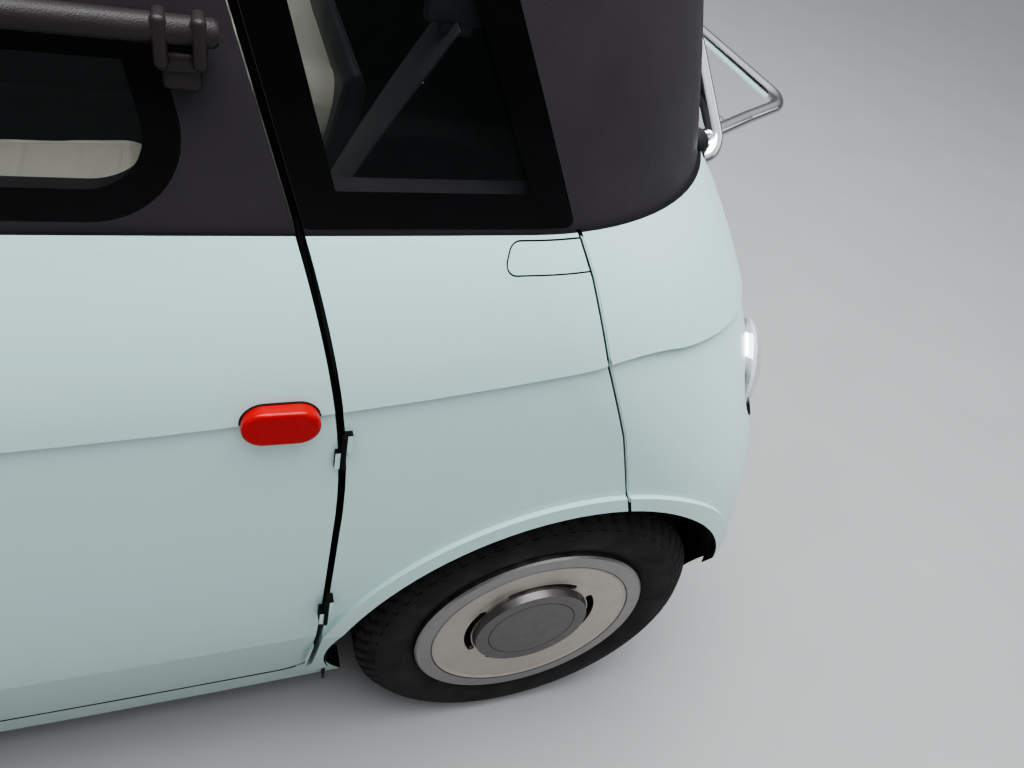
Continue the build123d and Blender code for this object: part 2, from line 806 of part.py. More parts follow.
with BuildPart() as drive_unit:
    with Locations((0, -axle_y, floor_high + seat_gap + drive_size[2] / 2)):
        Box(*drive_size)
    fillet(drive_unit.edges().filter_by(Axis.X), 40)
    with BuildSketch(Plane.YZ.offset(-shaft_end)):
        with Locations((-axle_y, axle_height)):
            Circle(shaft_radius)
    extrude(amount=2 * shaft_end)
save(drive_unit, "drive_unit")

# Seats
for side, name in ((1, "left_seat"), (-1, "right_seat")):
    with BuildPart() as seat:
        with BuildSketch(Plane.YZ.offset(side * seat_x - seat_width / 2)):
            with BuildLine():
                FilletPolyline(*seat_points, radius=seat_radii, close=True)
            make_face()
        extrude(amount=seat_width)
    save(seat, name)

# Dashboard with the steering column, carried by the side rings
column_axis = Vector(0, cos(radians(column_tilt)), sin(radians(column_tilt)))
with BuildPart() as dashboard:
    with BuildSketch(Plane.YZ):
        with BuildLine():
            FilletPolyline(*dash_points, radius=dash_radii, close=True)
        make_face()
    extrude(amount=dash_half_width, both=True)
    with Locations((0, dash_wing_y, dash_wing_z)):
        Box(2 * half_width, dash_wing_depth, dash_wing_height)
    column_end = Vector(*wheel_centre) - column_axis * (steering_hub_depth / 2 + seat_gap)
    with BuildSketch(Plane(origin=column_end, z_dir=-column_axis)) as column:
        Circle(column_radius)
    extrude(column.sketch, amount=column_length)
    add(body_inner.part, mode=Mode.INTERSECT)
save(dashboard, "dashboard")

with BuildPart() as steering_wheel:
    wheel_plane = Plane(origin=wheel_centre, x_dir=(1, 0, 0), z_dir=column_axis)
    with Locations(wheel_plane):
        Torus(steering_radius, steering_tube)
        Cylinder(steering_hub, steering_hub_depth)
        with PolarLocations(steering_radius / 2, 3, start_angle=90):
            Box(steering_radius, 2 * steering_tube, steering_tube)
save(steering_wheel, "steering_wheel")

# Mirrors, rack and wiper
with BuildPart() as mirrors:
    sweep_tube([mirror_foot, mirror_elbow, mirror_head], mirror_bend, mirror_arm)
    with BuildSketch(Plane(origin=mirror_head, z_dir=(0, 1, 0))) as head:
        Circle(mirror_radius)
    extrude(head.sketch, amount=mirror_depth / 2, both=True)
    add(body_full.part, mode=Mode.SUBTRACT)
    add(cabin_outer.part, mode=Mode.SUBTRACT)
    mirror(about=Plane.YZ)
save(mirrors, "mirrors")

with BuildPart() as rack:
    half_hoop = [(x, y, rack_height) for x, y in rack_platform]
    other_half = [(-x, y, z) for x, y, z in reversed(half_hoop)]
    sweep_tube(half_hoop + other_half, rack_platform_radii, rack_tube)
    back_points = rack_back + [(-x, y, z) for x, y, z in reversed(rack_back)]
    sweep_tube(back_points, rack_back_radii, rack_tube)
    with BuildSketch(Plane.YZ.offset(-rack_inner_half)):
        with Locations((rack_inner_y, rack_height)):
            Circle(rack_thin_tube)
    extrude(amount=2 * rack_inner_half)
    add(body_full.part, mode=Mode.SUBTRACT)
    add(cabin_outer.part, mode=Mode.SUBTRACT)
save(rack, "rack")

with BuildPart() as wiper:
    pivot_y = -(half_length - cabin_rows[0][2] + wiper_standoff / 2)
    with BuildSketch(Plane.XY.offset(belt_height + seat_gap)):
        with Locations((0, pivot_y)):
            Circle(wiper_radius)
    extrude(amount=wiper_pivot)
    blade = []
    for x, rise in wiper_points:
        height = belt_height + rise
        blade.append((x, screen_y(height, x) - wiper_standoff, height))
    start = (0, pivot_y, belt_height + wiper_pivot - wiper_radius)
    sweep_tube([start] + blade, wiper_bends, wiper_radius)
save(wiper, "wiper")
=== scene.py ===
import json
from math import atan2, cos, exp, pi, radians, sin, sqrt, tan
import bmesh
import bpy
from mathutils import Matrix, Vector
from mathutils.bvhtree import BVHTree


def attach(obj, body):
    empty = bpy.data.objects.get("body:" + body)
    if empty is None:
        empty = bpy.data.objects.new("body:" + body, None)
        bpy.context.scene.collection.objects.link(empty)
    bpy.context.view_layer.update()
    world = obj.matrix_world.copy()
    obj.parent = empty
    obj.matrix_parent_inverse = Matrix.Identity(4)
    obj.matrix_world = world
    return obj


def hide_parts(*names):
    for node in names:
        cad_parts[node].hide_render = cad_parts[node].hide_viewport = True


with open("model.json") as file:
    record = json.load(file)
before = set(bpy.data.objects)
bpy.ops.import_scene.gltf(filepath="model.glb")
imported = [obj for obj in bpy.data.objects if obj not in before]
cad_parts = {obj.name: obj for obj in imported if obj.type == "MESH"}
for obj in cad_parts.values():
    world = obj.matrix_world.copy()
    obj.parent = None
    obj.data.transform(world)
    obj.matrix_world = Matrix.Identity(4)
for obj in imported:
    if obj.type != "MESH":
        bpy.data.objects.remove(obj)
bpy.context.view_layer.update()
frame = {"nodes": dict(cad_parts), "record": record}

# Metres. +X is the car's left, +Y its rear, +Z up. The camera is where the photograph was taken.
camera_place = Vector((1.209, 0.409, 1.383))
camera_azimuth = radians(61.76)
camera_dip = radians(41.366)
camera_roll = radians(16.563)
focal_pixels = 781.3
image_width = 1024
sensor_width = 36.0

# Light: the sky's strength, its colours low and high, and the heights between which it fades
sky_strength = 0.85
sky_low = (0.17, 0.17, 0.18, 1)
sky_high = (1.45, 1.50, 1.56, 1)
sky_fade = (0.25, 0.95)
floor_size = 14
# Soft lights: place, target, size, watts, colour
soft_lights = {
    "sky_panel": ((0.3, 0.6, 4.6), (0, 0.3, 0.5), (4.4, 4.4), 430, (0.95, 0.99, 1.0)),
    "side_panel": ((4.6, 2.4, 3.0), (0.4, 0.3, 0.6), (2.6, 2.0), 14, (1.0, 0.98, 0.96)),
    "rear_panel_light": ((0.8, 4.8, 2.6), (0, 0.9, 0.6), (2.6, 2.0), 12, (0.96, 0.98, 1.0)),
}

# The car's two sides
sides = ((1, "left"), (-1, "right"))

# Body and cabin, as in the part's source
half_width = 0.698
half_length = 1.2675
door_gap = 0.008
panel_gap = 0.005
hinge_y = 0.5258
hinge_zones = [(0.452, 0.504), (0.757, 0.809)]
hinge_slack = 0.0006

# Painted faces: how squarely they face outwards, how far a flare reaches from its arch
skin_facing = 0.68
flare_facing = 0.4
flare_reach = (0.010, 0.045)

# Seam between a side and an end panel, as (distance from the middle, height), and how far
# beside it the skin is felt; sections of its lip and of the black strip behind it that paints
# the seam's shade, as (along, outward)
seam_points = [(0.7535, 0.995), (0.771, 0.960), (0.804, 0.875), (0.865, 0.750), (0.9164, 0.620)]
seam_reach = 0.004
seam_steps = 8
seam_lap = 0.0006
lip_section = [
    (seam_lap, -0.0005), (-0.0018, -0.0005), (-0.0025, -0.0013), (-0.0025, -0.0045), (seam_lap, -0.0045),
]
seam_shade_section = [
    (seam_lap, -0.007), (-panel_gap - seam_lap, -0.007), (-panel_gap - seam_lap, -0.010), (seam_lap, -0.010),
]

# Half of a door's outline from its sill up, its corner radii, and the seal round it
door_points = [(0.517, 0.200), (0.525, 0.640), (0.516, 0.825), (0.478, 1.0), (0.360, 1.410)]
door_radii = [0.040, 0.2, 0.2, 0.2, 0.060]
door_felt = (0.21, 1.40)
seal_depth = 0.022
seal_radius = 0.0036
seal_step = 0.03
seal_felt_inset = 0.015

# Window bar and its clamps
bar_height = 1.159
bar_x = 0.632
bar_half_length = 0.423
bar_radius = 0.010
bar_end_radius = 0.0075
clamp_y = 0.398
clamp_low = 0.045
# Blocks of a clamp: size, inward shift, along, height over the bar, bevel, segments
clamp_blocks = [
    ((0.023, 0.010, 0.036), 0.0, -0.0125, -0.006, 0.004, 3),
    ((0.023, 0.010, 0.036), 0.0, 0.0125, -0.006, 0.004, 3),
    ((0.026, 0.034, 0.016), 0.008, 0.0, -0.021, 0.005, 3),
    ((0.024, 0.027, 0.030), 0.010, 0.0, -clamp_low + 0.017, 0.0055, 4),
]
screw_offset = 0.0185
screw_profile = [(-0.001, 0), (-0.001, 0.006), (0.001, 0.006), (0.0015, 0.003), (0.0005, 0.0028), (0.0005, 0)]

# Windows: node, body, view, outline corners, corner radii, width of the black border
windows = {
    "door_low": (
        "left_door_glass", "left_door_body", "side",
        [(-0.410, 1.008), (0.410, 1.008), (0.380, 1.154), (-0.380, 1.154)],
        [0.070, 0.070, 0.008, 0.008], 0.026,
    ),
    "door_high": (
        "left_door_glass", "left_door_body", "side",
        [(-0.376, 1.166), (0.376, 1.166), (0.332, 1.384), (-0.332, 1.384)],
        [0.008, 0.008, 0.030, 0.030], 0.016,
    ),
    "quarter_rear": (
        "quarter_windows", "car", "side",
        [(0.485, 1.003), (0.744, 1.003), (0.562, 1.372), (0.379, 1.372)],
        [0.004, 0.006, 0.025, 0.010], 0.034,
    ),
    "quarter_front": (
        "quarter_windows", "car", "side",
        [(-0.744, 1.003), (-0.489, 1.003), (-0.408, 1.290), (-0.480, 1.290)],
        [0.006, 0.004, 0.010, 0.015], 0.026,
    ),
    "windscreen": (
        "windscreen", "car", "front",
        [(-0.520, 1.012), (0.520, 1.012), (0.430, 1.418), (-0.430, 1.418)],
        [0.050, 0.050, 0.040, 0.040], 0.045,
    ),
    "rear_window": (
        "rear_window", "car", "rear",
        [(-0.460, 1.040), (0.460, 1.040), (0.390, 1.404), (-0.390, 1.404)],
        [0.050, 0.050, 0.040, 0.040], 0.038,
    ),
    "roof_glass": (
        "roof_glass", "car", "top",
        [(-0.390, -0.390), (0.390, -0.390), (0.390, 0.640), (-0.390, 0.640)],
        [0.060] * 4, 0.045,
    ),
}
border_inset = 0.001
border_step = 0.025
border_layer = 0.010

# Wheels and arches
wheel_x = 0.582
axle_y = 0.865
axle_z = 0.2785
arch_radius = 0.325
wheels = {
    "front_left": (1, -1),
    "front_right": (-1, -1),
    "rear_left": (1, 1),
    "rear_right": (-1, 1),
}
# Wheel cover: its ring, cap and engraved line, and where the dark barrel begins
ring_inner = 0.164
cap_radius = 0.0972
line_radius = 0.072
line_half = 0.0012
groove_half = 0.0013
barrel_x = wheel_x + 0.0605

# Tyre: half its section as (outward, radius) from the bead to the middle, and its tread
tyre_half_section = [
    (0.064, 0.176), (0.0645, 0.1905), (0.0668, 0.1935), (0.069, 0.199), (0.0722, 0.206),
    (0.0752, 0.215), (0.0768, 0.224), (0.0774, 0.232), (0.077, 0.24), (0.0762, 0.2436),
    (0.0764, 0.245), (0.0755, 0.2464), (0.0742, 0.25), (0.0744, 0.2515), (0.0733, 0.253),
    (0.0708, 0.258), (0.067, 0.2625), (0.062, 0.2675), (0.057, 0.2725), (0.052, 0.2765),
    (0.048, 0.278), (0.04, 0.2785), (0.0365, 0.2785), (0.0355, 0.272), (0.0305, 0.272),
    (0.0295, 0.2785), (0.02, 0.2785), (0.0145, 0.2785), (0.0135, 0.272), (0.0085, 0.272),
    (0.0075, 0.2785),
]
tread_steps = 300
sipe_every = 5
shoulder_slant = 140
crown_slant = 260
shoulder_x = 0.036
shoulder_low = 0.2520
shoulder_high = 0.2660
crown_low = 0.2780

# Lamps: distance from the middle, end, end tuck, height, radius, depth, dome, outward turn, tilt
lamps = {
    "tail_lamps": (0.500, 1, 0.112, 0.692, 0.076, 0.034, 0.028, 22, 8),
    "headlamps": (0.490, -1, 0.104, 0.735, 0.092, 0.034, 0.024, 22, 8),
}
# Light units of a lamp: place across and up, and size, as shares of its radius
lamp_units = {
    "tail_lamps": [(0.0, 0.40, 0.26), (0.36, -0.24, 0.22), (-0.36, -0.24, 0.22)],
    "headlamps": [(0.0, 0.0, 0.46)],
}
lamp_play = 0.0008
lens_collar = 0.004
lens_shoulder = 0.007
lens_round = 0.002
lens_wall = 0.0028
lens_steps = 12
unit_lift = 0.010

# Side reflectors, mirrors, number plates and rubber rings of the rack
reflector_place = (0.4645, 0.8325)
reflector_half = (0.0364, 0.0214)
reflector_corner = 0.0213
gasket_radius = 0.0011
gasket_lift = 0.0003
mirror_place = (0.765, -0.5775, 1.060)
mirror_profile = [(0.0, 0.070), (0.0012, 0.069), (0.0014, 0.0)]
plate_height = 0.46
plate_size = (0.336, 0.003, 0.136)
carrier_size = (0.350, 0.010, 0.150)
rack_ring_profile = [
    (-0.012, 0.0118), (-0.012, 0.0165), (-0.009, 0.0185), (0.009, 0.0185), (0.012, 0.0165), (0.012, 0.0118),
    (-0.012, 0.0118),
]

# Seats: middle, half width, and the shell seen from the side as (rearward, height)
seat_x = 0.285
seat_half = 0.215
shell_outline = [
    (-0.036, 0.2915), (0.399, 0.2915), (0.556, 1.066), (0.550, 1.082), (0.542, 1.084), (0.533, 1.070),
    (0.418, 0.520), (0.360, 0.405), (-0.040, 0.385), (-0.052, 0.36),
]
shell_inset = 0.004
shell_bevel = 0.012
# Pads: size, seams across, place rearward and up, tilt
pads = {
    "cushion": ((0.400, 0.350, 0.085), (-0.06, 0.04), (0.140, 0.4475), radians(3)),
    "back": ((0.416, 0.575, 0.098), (-0.12, 0.0, 0.12), (0.450, 0.797), atan2(0.565, 0.125)),
}
pad_crown = 0.010
pad_waist = 0.010
pad_voxel = 0.006
pad_swell = 0.010
swell_frames = 20
sewn_border = 0.052
sewn_depth = 0.0055
sewn_width = 0.0045
piping_inset = 0.050
piping_lift = 0.006
piping_radius = 0.0030

# Belts: the run of the webbing as (outward, rearward, height), and the buckle's lean
belt_points = [
    (0.572, 0.604, 1.170), (0.556, 0.560, 1.080), (0.545, 0.505, 0.960), (0.535, 0.450, 0.600),
    (0.530, 0.430, 0.300), (0.528, 0.420, 0.205),
]
belt_width = 0.046
belt_thickness = 0.0016
belt_bend = 0.10
buckle_x = 0.036

# Door cards: columns and rows of their grid, half length, lowest point, height, lift, pocket
card_columns = 26
card_rows = 16
card_half = 0.455
card_low = 0.300
card_height = 0.660
card_lift = 0.0012
card_rise = 0.006
pocket_half = 0.34
pocket_heights = (0.36, 0.56)
pocket_lift = 0.022

# Steering wheel and dashboard
steering_centre = Vector((0.290, -0.330, 0.880))
steering_tilt = radians(28)
rim_radius = 0.172
grip_radius = 0.0138
rim_steps = 72
hub_profile = [
    (-0.0195, 0), (-0.0195, 0.036), (-0.010, 0.0418), (0.006, 0.0415), (0.014, 0.036), (0.0185, 0.022),
    (0.0195, 0.0),
]
spoke_angles = (90, 210, 330)
lean = Matrix.Rotation(radians(-20), 3, "X")
vent_places = (-0.40, -0.05, 0.46)
vent_pitch = 0.011
stalk_start = (0.290, -0.400, 0.845)
stalk_profile = [(0.0, 0.005), (0.070, 0.005), (0.085, 0.009), (0.105, 0.008), (0.108, 0.0)]
slat_pitch = 0.022

nodes = frame["nodes"]


def rounded_outline(corners, radii, inset=0.0, steps=8):
    """A closed outline of straight sides and round corners, drawn in by an inset."""
    count = len(corners)
    turn_way = sum(
        corners[i][0] * corners[(i + 1) % count][1] - corners[(i + 1) % count][0] * corners[i][1]
        for i in range(count)
    )
    turn_way = 1 if turn_way > 0 else -1
    edges = []
    for i in range(count):
        a, b = Vector(corners[i]), Vector(corners[(i + 1) % count])
        along = (b - a).normalized()
        inward = Vector((-along.y, along.x)) * turn_way
        edges.append((a + inward * inset, along))
    outline = []
    for i in range(count):
        (p, u), (q, v) = edges[i - 1], edges[i]
        cross = u.x * v.y - u.y * v.x
        reach = ((q - p).x * v.y - (q - p).y * v.x) / cross
        corner = p + u * reach
        half_turn = u.angle(v) / 2
        radius = max(radii[i] - inset, 0.0015)
        cut = radius * tan(half_turn)
        start = corner - u * cut
        inward = Vector((-u.y, u.x)) * turn_way
        centre = start + inward * radius
        arm = start - centre
        for k in range(steps + 1):
            angle = turn_way * 2 * half_turn * k / steps
            swung = Vector((arm.x * cos(angle) - arm.y * sin(angle), arm.x * sin(angle) + arm.y * cos(angle)))
            outline.append(centre + swung)
    return outline


def union_tree(*names):
    """A search tree over the surfaces of some CAD nodes."""
    points, faces = [], []
    for name in names:
        mesh = nodes[name].data
        start = len(points)
        points += [v.co.copy() for v in mesh.vertices]
        faces += [[start + i for i in polygon.vertices] for polygon in mesh.polygons]
    return BVHTree.FromPolygons(points, faces)


views = {
    "side": (Vector((2, 0, 0)), Vector((-1, 0, 0)), lambda a, b: Vector((0, a, b))),
    "front": (Vector((0, -2, 0)), Vector((0, 1, 0)), lambda a, b: Vector((a, 0, b))),
    "rear": (Vector((0, 2, 0)), Vector((0, -1, 0)), lambda a, b: Vector((a, 0, b))),
    "top": (Vector((0, 0, 3)), Vector((0, 0, -1)), lambda a, b: Vector((a, b, 0))),
}


def on_surface(tree, view, a, b):
    """The point and normal of a surface under one point of a view."""
    away, along, place = views[view]
    hit, normal, _, _ = tree.ray_cast(place(a, b) + away, along)
    return hit, normal


def border_ring(name, tree, view, corners, radii, outer, inner, material, body, lift=0.0004, mirrored=False):
    """A thin border between two insets of an outline, laid on a surface."""
    first = rounded_outline(corners, radii, outer)
    last = rounded_outline(corners, radii, inner)
    pairs = []
    for i, (a, b) in enumerate(zip(first, last)):
        following = (i + 1) % len(first)
        parts = max(1, int((first[following] - a).length / border_step))
        for k in range(parts):
            share = k / parts
            pairs.append((a.lerp(first[following], share), b.lerp(last[following], share)))
    layers = max(2, int((inner - outer) / border_layer))
    bm = bmesh.new()
    rows = []
    for a, b in pairs:
        row = []
        for k in range(layers + 1):
            spot = a.lerp(b, k / layers)
            hit, normal = on_surface(tree, view, *spot)
            if hit is None:
                row.append(None)
                continue
            place = hit + normal * lift
            if mirrored:
                place.x = -place.x
            row.append(bm.verts.new(place))
        rows.append(row)
    for i, row in enumerate(rows):
        following = rows[(i + 1) % len(rows)]
        for k in range(layers):
            corner = [row[k], row[k + 1], following[k + 1], following[k]]
            if all(corner):
                bm.faces.new(corner)
    bmesh.ops.recalc_face_normals(bm, faces=bm.faces)
    return add_piece(name, bm, material, body=body, smooth=60)


def bend_path(points, radius, steps=6):
    """Straight runs joined by rounded corners."""
    points = [Vector(p) for p in points]
    path = [points[0]]
    for before, corner, after in zip(points, points[1:], points[2:]):
        back, ahead = (before - corner), (after - corner)
        reach = min(radius, back.length * 0.45, ahead.length * 0.45)
        start = corner + back.normalized() * reach
        end = corner + ahead.normalized() * reach
        for k in range(steps + 1):
            t = k / steps
            path.append(start.lerp(corner, t).lerp(corner.lerp(end, t), t))
    path.append(points[-1])
    return path


def join_rings(bm, rings, closed=False):
    """Faces between each ring of points and the next one."""
    pairs = list(zip(rings, rings[1:]))
    if closed:
        pairs.append((rings[-1], rings[0]))
    for here, there in pairs:
        for k in range(len(here)):
            n = (k + 1) % len(here)
            bm.faces.new((here[k], here[n], there[n], there[k]))


def cap_ends(bm, rings):
    """A face over each end of a run of rings."""
    bm.faces.new(rings[0])
    bm.faces.new(list(reversed(rings[-1])))


def sweep_into(bm, points, section, closed, up):
    """Sweep a section, a list of (across, upward) offsets, along a path."""
    rings = []
    count = len(points)
    for i, point in enumerate(points):
        before = points[i - 1] if (i or closed) else points[i]
        after = points[(i + 1) % count] if (i < count - 1 or closed) else points[i]
        along = (after - before).normalized()
        across = along.cross(up)
        if across.length < 0.05:
            across = along.cross(Vector((0, 1, 0)))
        across.normalize()
        upward = across.cross(along).normalized()
        rings.append([bm.verts.new(point + across * a + upward * b) for a, b in section])
    join_rings(bm, rings, closed)
    if not closed:
        cap_ends(bm, rings)


def round_section(radius, steps):
    """A round tube's section."""
    return [(radius * cos(2 * pi * k / steps), radius * sin(2 * pi * k / steps)) for k in range(steps)]


def flat_section(width, thickness):
    """A strap's section: a flat bar with soft edges."""
    a, b = width / 2, thickness / 2
    near, bulge = a * 0.94, b * 1.4
    lower = [(-a, -b), (-near, -bulge), (near, -bulge), (a, -b)]
    return lower + [(-x, -y) for x, y in lower]


def swept(name, points, section, material, body="car", closed=True, up=Vector((0, 0, 1))):
    """A piece made by sweeping a section along a path."""
    bm = bmesh.new()
    sweep_into(bm, [Vector(p) for p in points], section, closed, up)
    bmesh.ops.recalc_face_normals(bm, faces=bm.faces)
    return add_piece(name, bm, material, body=body, smooth=50)


def lathe_into(bm, profile, place, axis, steps=64):
    """Turn a profile of (along the axis, radius) pairs about an axis."""
    turn = axis.to_track_quat("Z", "X").to_matrix()
    rings = []
    for along, radius in profile:
        if radius < 1e-6:
            rings.append([bm.verts.new(place + turn @ Vector((0, 0, along)))])
            continue
        ring = []
        for k in range(steps):
            angle = 2 * pi * k / steps
            spot = Vector((radius * cos(angle), radius * sin(angle), along))
            ring.append(bm.verts.new(place + turn @ spot))
        rings.append(ring)
    for here, there in zip(rings, rings[1:]):
        for k in range(steps):
            n = (k + 1) % steps
            lower = [here[k % len(here)], here[n % len(here)]]
            upper = [there[n % len(there)], there[k % len(there)]]
            corners = list(dict.fromkeys(lower + upper))
            if len(corners) > 2:
                bm.faces.new(corners)


def block_into(bm, size, place, turn=None, bevel=0.003, segments=3):
    """A box with rounded edges."""
    made = bmesh.ops.create_cube(bm, size=1)["verts"]
    turned = turn.to_4x4() if turn else Matrix.Identity(4)
    matrix = Matrix.Translation(place) @ turned @ Matrix.Diagonal((*size, 1))
    bmesh.ops.transform(bm, matrix=matrix, verts=made)
    edges = list({e for v in made for e in v.link_edges})
    bmesh.ops.bevel(bm, geom=edges, offset=bevel, segments=segments, profile=0.5, affect="EDGES")


def blocks(name, material, *rows):
    """One piece on the car's body of rounded boxes: size, place, bevel and, if leant, turn of each."""
    bm = bmesh.new()
    for size, place, bevel, *turn in rows:
        block_into(bm, size, Vector(place), turn[0] if turn else None, bevel)
    return add_piece(name, bm, material, smooth=40)


def add_object(name, data):
    """A new object in the scene."""
    made = bpy.data.objects.new(name, data)
    bpy.context.collection.objects.link(made)
    return made


def add_camera():
    """The camera at the photograph's place, angle and focal length."""
    level = Vector((-sin(camera_azimuth), cos(camera_azimuth), 0))
    ahead = level * cos(camera_dip) - Vector((0, 0, sin(camera_dip)))
    level_right = ahead.cross(Vector((0, 0, 1))).normalized()
    level_up = level_right.cross(ahead)
    right = level_right * cos(camera_roll) + level_up * sin(camera_roll)
    up = level_up * cos(camera_roll) - level_right * sin(camera_roll)
    data = bpy.data.cameras.new("camera")
    data.sensor_width = sensor_width
    data.sensor_fit = "HORIZONTAL"
    data.lens = focal_pixels / image_width * sensor_width
    data.clip_start = 0.02
    camera = add_object("camera", data)
    turn = Matrix((right, up, -ahead)).transposed().to_4x4()
    camera.matrix_world = Matrix.Translation(camera_place) @ turn
    bpy.context.scene.camera = camera


def add_area_light(name, place, target, size, watts, tint):
    """A large soft light that faces its target."""
    data = bpy.data.lights.new(name, "AREA")
    data.shape = "RECTANGLE"
    data.size, data.size_y = size
    data.energy = watts
    data.color = tint
    light = add_object(name, data)
    light.location = place
    light.rotation_euler = (Vector(target) - Vector(place)).to_track_quat("-Z", "Y").to_euler()


def add_studio():
    """A pale floor, a sky that brightens upwards and three soft lights."""
    world = bpy.data.worlds.new("studio")
    world.use_nodes = True
    tree = world.node_tree
    sky = tree.nodes["Background"]
    sky.inputs["Strength"].default_value = sky_strength
    place = tree.nodes.new("ShaderNodeTexCoord")
    split = tree.nodes.new("ShaderNodeSeparateXYZ")
    fade = tree.nodes.new("ShaderNodeMapRange")
    fade.inputs["From Min"].default_value, fade.inputs["From Max"].default_value = sky_fade
    mix = tree.nodes.new("ShaderNodeMix")
    mix.data_type = "RGBA"
    mix.inputs["A"].default_value = sky_low
    mix.inputs["B"].default_value = sky_high
    tree.links.new(place.outputs["Generated"], split.inputs["Vector"])
    tree.links.new(split.outputs["Z"], fade.inputs["Value"])
    tree.links.new(fade.outputs["Result"], mix.inputs["Factor"])
    tree.links.new(mix.outputs["Result"], sky.inputs["Color"])
    bpy.context.scene.world = world
    bpy.context.scene.view_settings.look = "AgX - Medium High Contrast"
    for name, values in soft_lights.items():
        add_area_light(name, *values)
    bm = bmesh.new()
    bmesh.ops.create_grid(bm, x_segments=2, y_segments=2, size=floor_size)
    floor = add_piece("studio_floor", bm, floor_material(), body=None)


def add_piece(name, bm, *materials, body="car", smooth=35):
    """Turn a bmesh into a piece, with its materials, and let it ride on a body."""
    mesh = bpy.data.meshes.new(name)
    bm.normal_update()
    bm.to_mesh(mesh)
    bm.free()
    piece = add_object(name, mesh)
    for material in materials:
        mesh.materials.append(material)
    if smooth:
        for polygon in mesh.polygons:
            polygon.use_smooth = True
        mesh.set_sharp_from_angle(angle=radians(smooth))
    if body:
        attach(piece, body)
    return piece


class Surface:
    """A material under construction, with short ways to add and join its nodes."""

    def __init__(self, name, colour, roughness, metallic=0.0, **sockets):
        self.material = bpy.data.materials.new(name)
        self.material.use_nodes = True
        self.tree = self.material.node_tree
        self.shader = self.tree.nodes["Principled BSDF"]
        self.set("Base Color", (*colour, 1))
        self.set("Roughness", roughness)
        self.set("Metallic", metallic)
        for socket, value in sockets.items():
            self.set(socket.replace("_", " "), value)
        self.place = self.tree.nodes.new("ShaderNodeTexCoord").outputs["Object"]
        self.colour = colour
        self.normal = None

    def set(self, socket, value):
        """Set a socket of the shader."""
        self.shader.inputs[socket].default_value = value

    def join(self, source, target):
        """Link two sockets."""
        self.tree.links.new(source, target)

    def add(self, kind, source, socket, **values):
        """A new node with a source joined to one socket and values set on others."""
        node = self.tree.nodes.new("ShaderNode" + kind)
        for name, value in values.items():
            node.inputs[name.replace("_", " ")].default_value = value
        self.join(source, node.inputs[socket])
        return node

    def stretched(self, scale):
        """Object coordinates stretched by a scale for each axis."""
        return self.add("Mapping", self.place, "Vector", Scale=scale).outputs["Vector"]

    def noise(self, scale, detail=3, place=None):
        """A cloudy pattern."""
        node = self.add("TexNoise", place or self.place, "Vector", Scale=scale, Detail=detail)
        return node.outputs["Fac"]

    def cells(self, scale):
        """A pattern of small cells."""
        return self.add("TexVoronoi", self.place, "Vector", Scale=scale).outputs["Distance"]

    def ramp(self, source, low, high, start=0.0, end=1.0):
        """Remap a value to a range."""
        limits = {"From_Min": start, "From_Max": end, "To_Min": low, "To_Max": high}
        return self.add("MapRange", source, "Value", **limits).outputs["Result"]

    def height(self):
        """Height above the ground, at rest."""
        return self.add("SeparateXYZ", self.place, "Vector").outputs["Z"]

    def blend_colour(self, factor, other):
        """Blend the base colour towards another one by a factor."""
        node = self.tree.nodes.new("ShaderNodeMix")
        node.data_type = "RGBA"
        current = self.shader.inputs["Base Color"]
        if current.is_linked:
            self.join(current.links[0].from_socket, node.inputs["A"])
        else:
            node.inputs["A"].default_value = (*self.colour, 1)
        node.inputs["B"].default_value = (*other, 1)
        self.join(factor, node.inputs["Factor"])
        self.join(node.outputs["Result"], current)

    def mottle(self, source, share, other, start=0.35, end=0.7):
        """Blend in some of another colour where a pattern is strong."""
        self.blend_colour(self.ramp(source, 0.0, share, start, end), other)

    def vary_roughness(self, source, low, high, start=0.3, end=0.7):
        """Let the roughness follow a pattern."""
        self.join(self.ramp(source, low, high, start, end), self.shader.inputs["Roughness"])

    def bump(self, source, strength, distance=0.001):
        """Lay a bump over those already there."""
        node = self.add("Bump", source, "Height", Strength=strength, Distance=distance)
        if self.normal:
            self.join(self.normal, node.inputs["Normal"])
        self.normal = node.outputs["Normal"]
        self.join(self.normal, self.shader.inputs["Normal"])


def floor_material():
    """The pale studio floor."""
    s = Surface("floor_pale", (0.29, 0.285, 0.285), 0.85)
    s.mottle(s.noise(3), 0.35, (0.25, 0.245, 0.245), 0.3)
    s.bump(s.noise(220), 0.15)
    return s.material


def paint_material():
    """Satin mint paint, with painted shade that darkens it towards the ground."""
    s = Surface("mint_paint", (0.500, 0.700, 0.670), 0.36, Coat_Weight=0.30, Coat_Roughness=0.18)
    s.mottle(s.noise(2.2), 0.35, (0.475, 0.665, 0.630))
    s.vary_roughness(s.noise(9, 4), 0.32, 0.40)
    s.bump(s.noise(650, 2), 0.035, 0.0006)
    # Painted shade: the paint is blended towards a darker mint low down, fading out by 0.66 m height
    painted_ground_shade = s.ramp(s.height(), 0.50, 0.0, 0.15, 0.66)
    s.blend_colour(painted_ground_shade, (0.25, 0.31, 0.29))
    return s.material


def trim_material(name="trim_grained", colour=(0.030, 0.026, 0.029), roughness=0.52, grain=1500):
    """Grained plastic or satin paint: the dark roof and pillars, and every other moulding."""
    s = Surface(name, colour, roughness, Specular_IOR_Level=0.25)
    s.mottle(s.noise(14), 0.4, tuple(c * 1.35 for c in colour))
    s.vary_roughness(s.noise(30), roughness - 0.06, roughness + 0.08)
    s.bump(s.cells(grain), 0.30, 0.0006)
    return s.material


def glass_material(name, colour, cover):
    """Thin glass: a share of it is tint and gloss, and the rest is clear."""
    gloss = {"Specular_IOR_Level": 0.7, "Coat_Weight": 0.5, "Coat_Roughness": 0.01}
    s = Surface(name, colour, 0.015, Alpha=cover, **gloss)
    s.vary_roughness(s.noise(5), 0.008, 0.03)
    return s.material


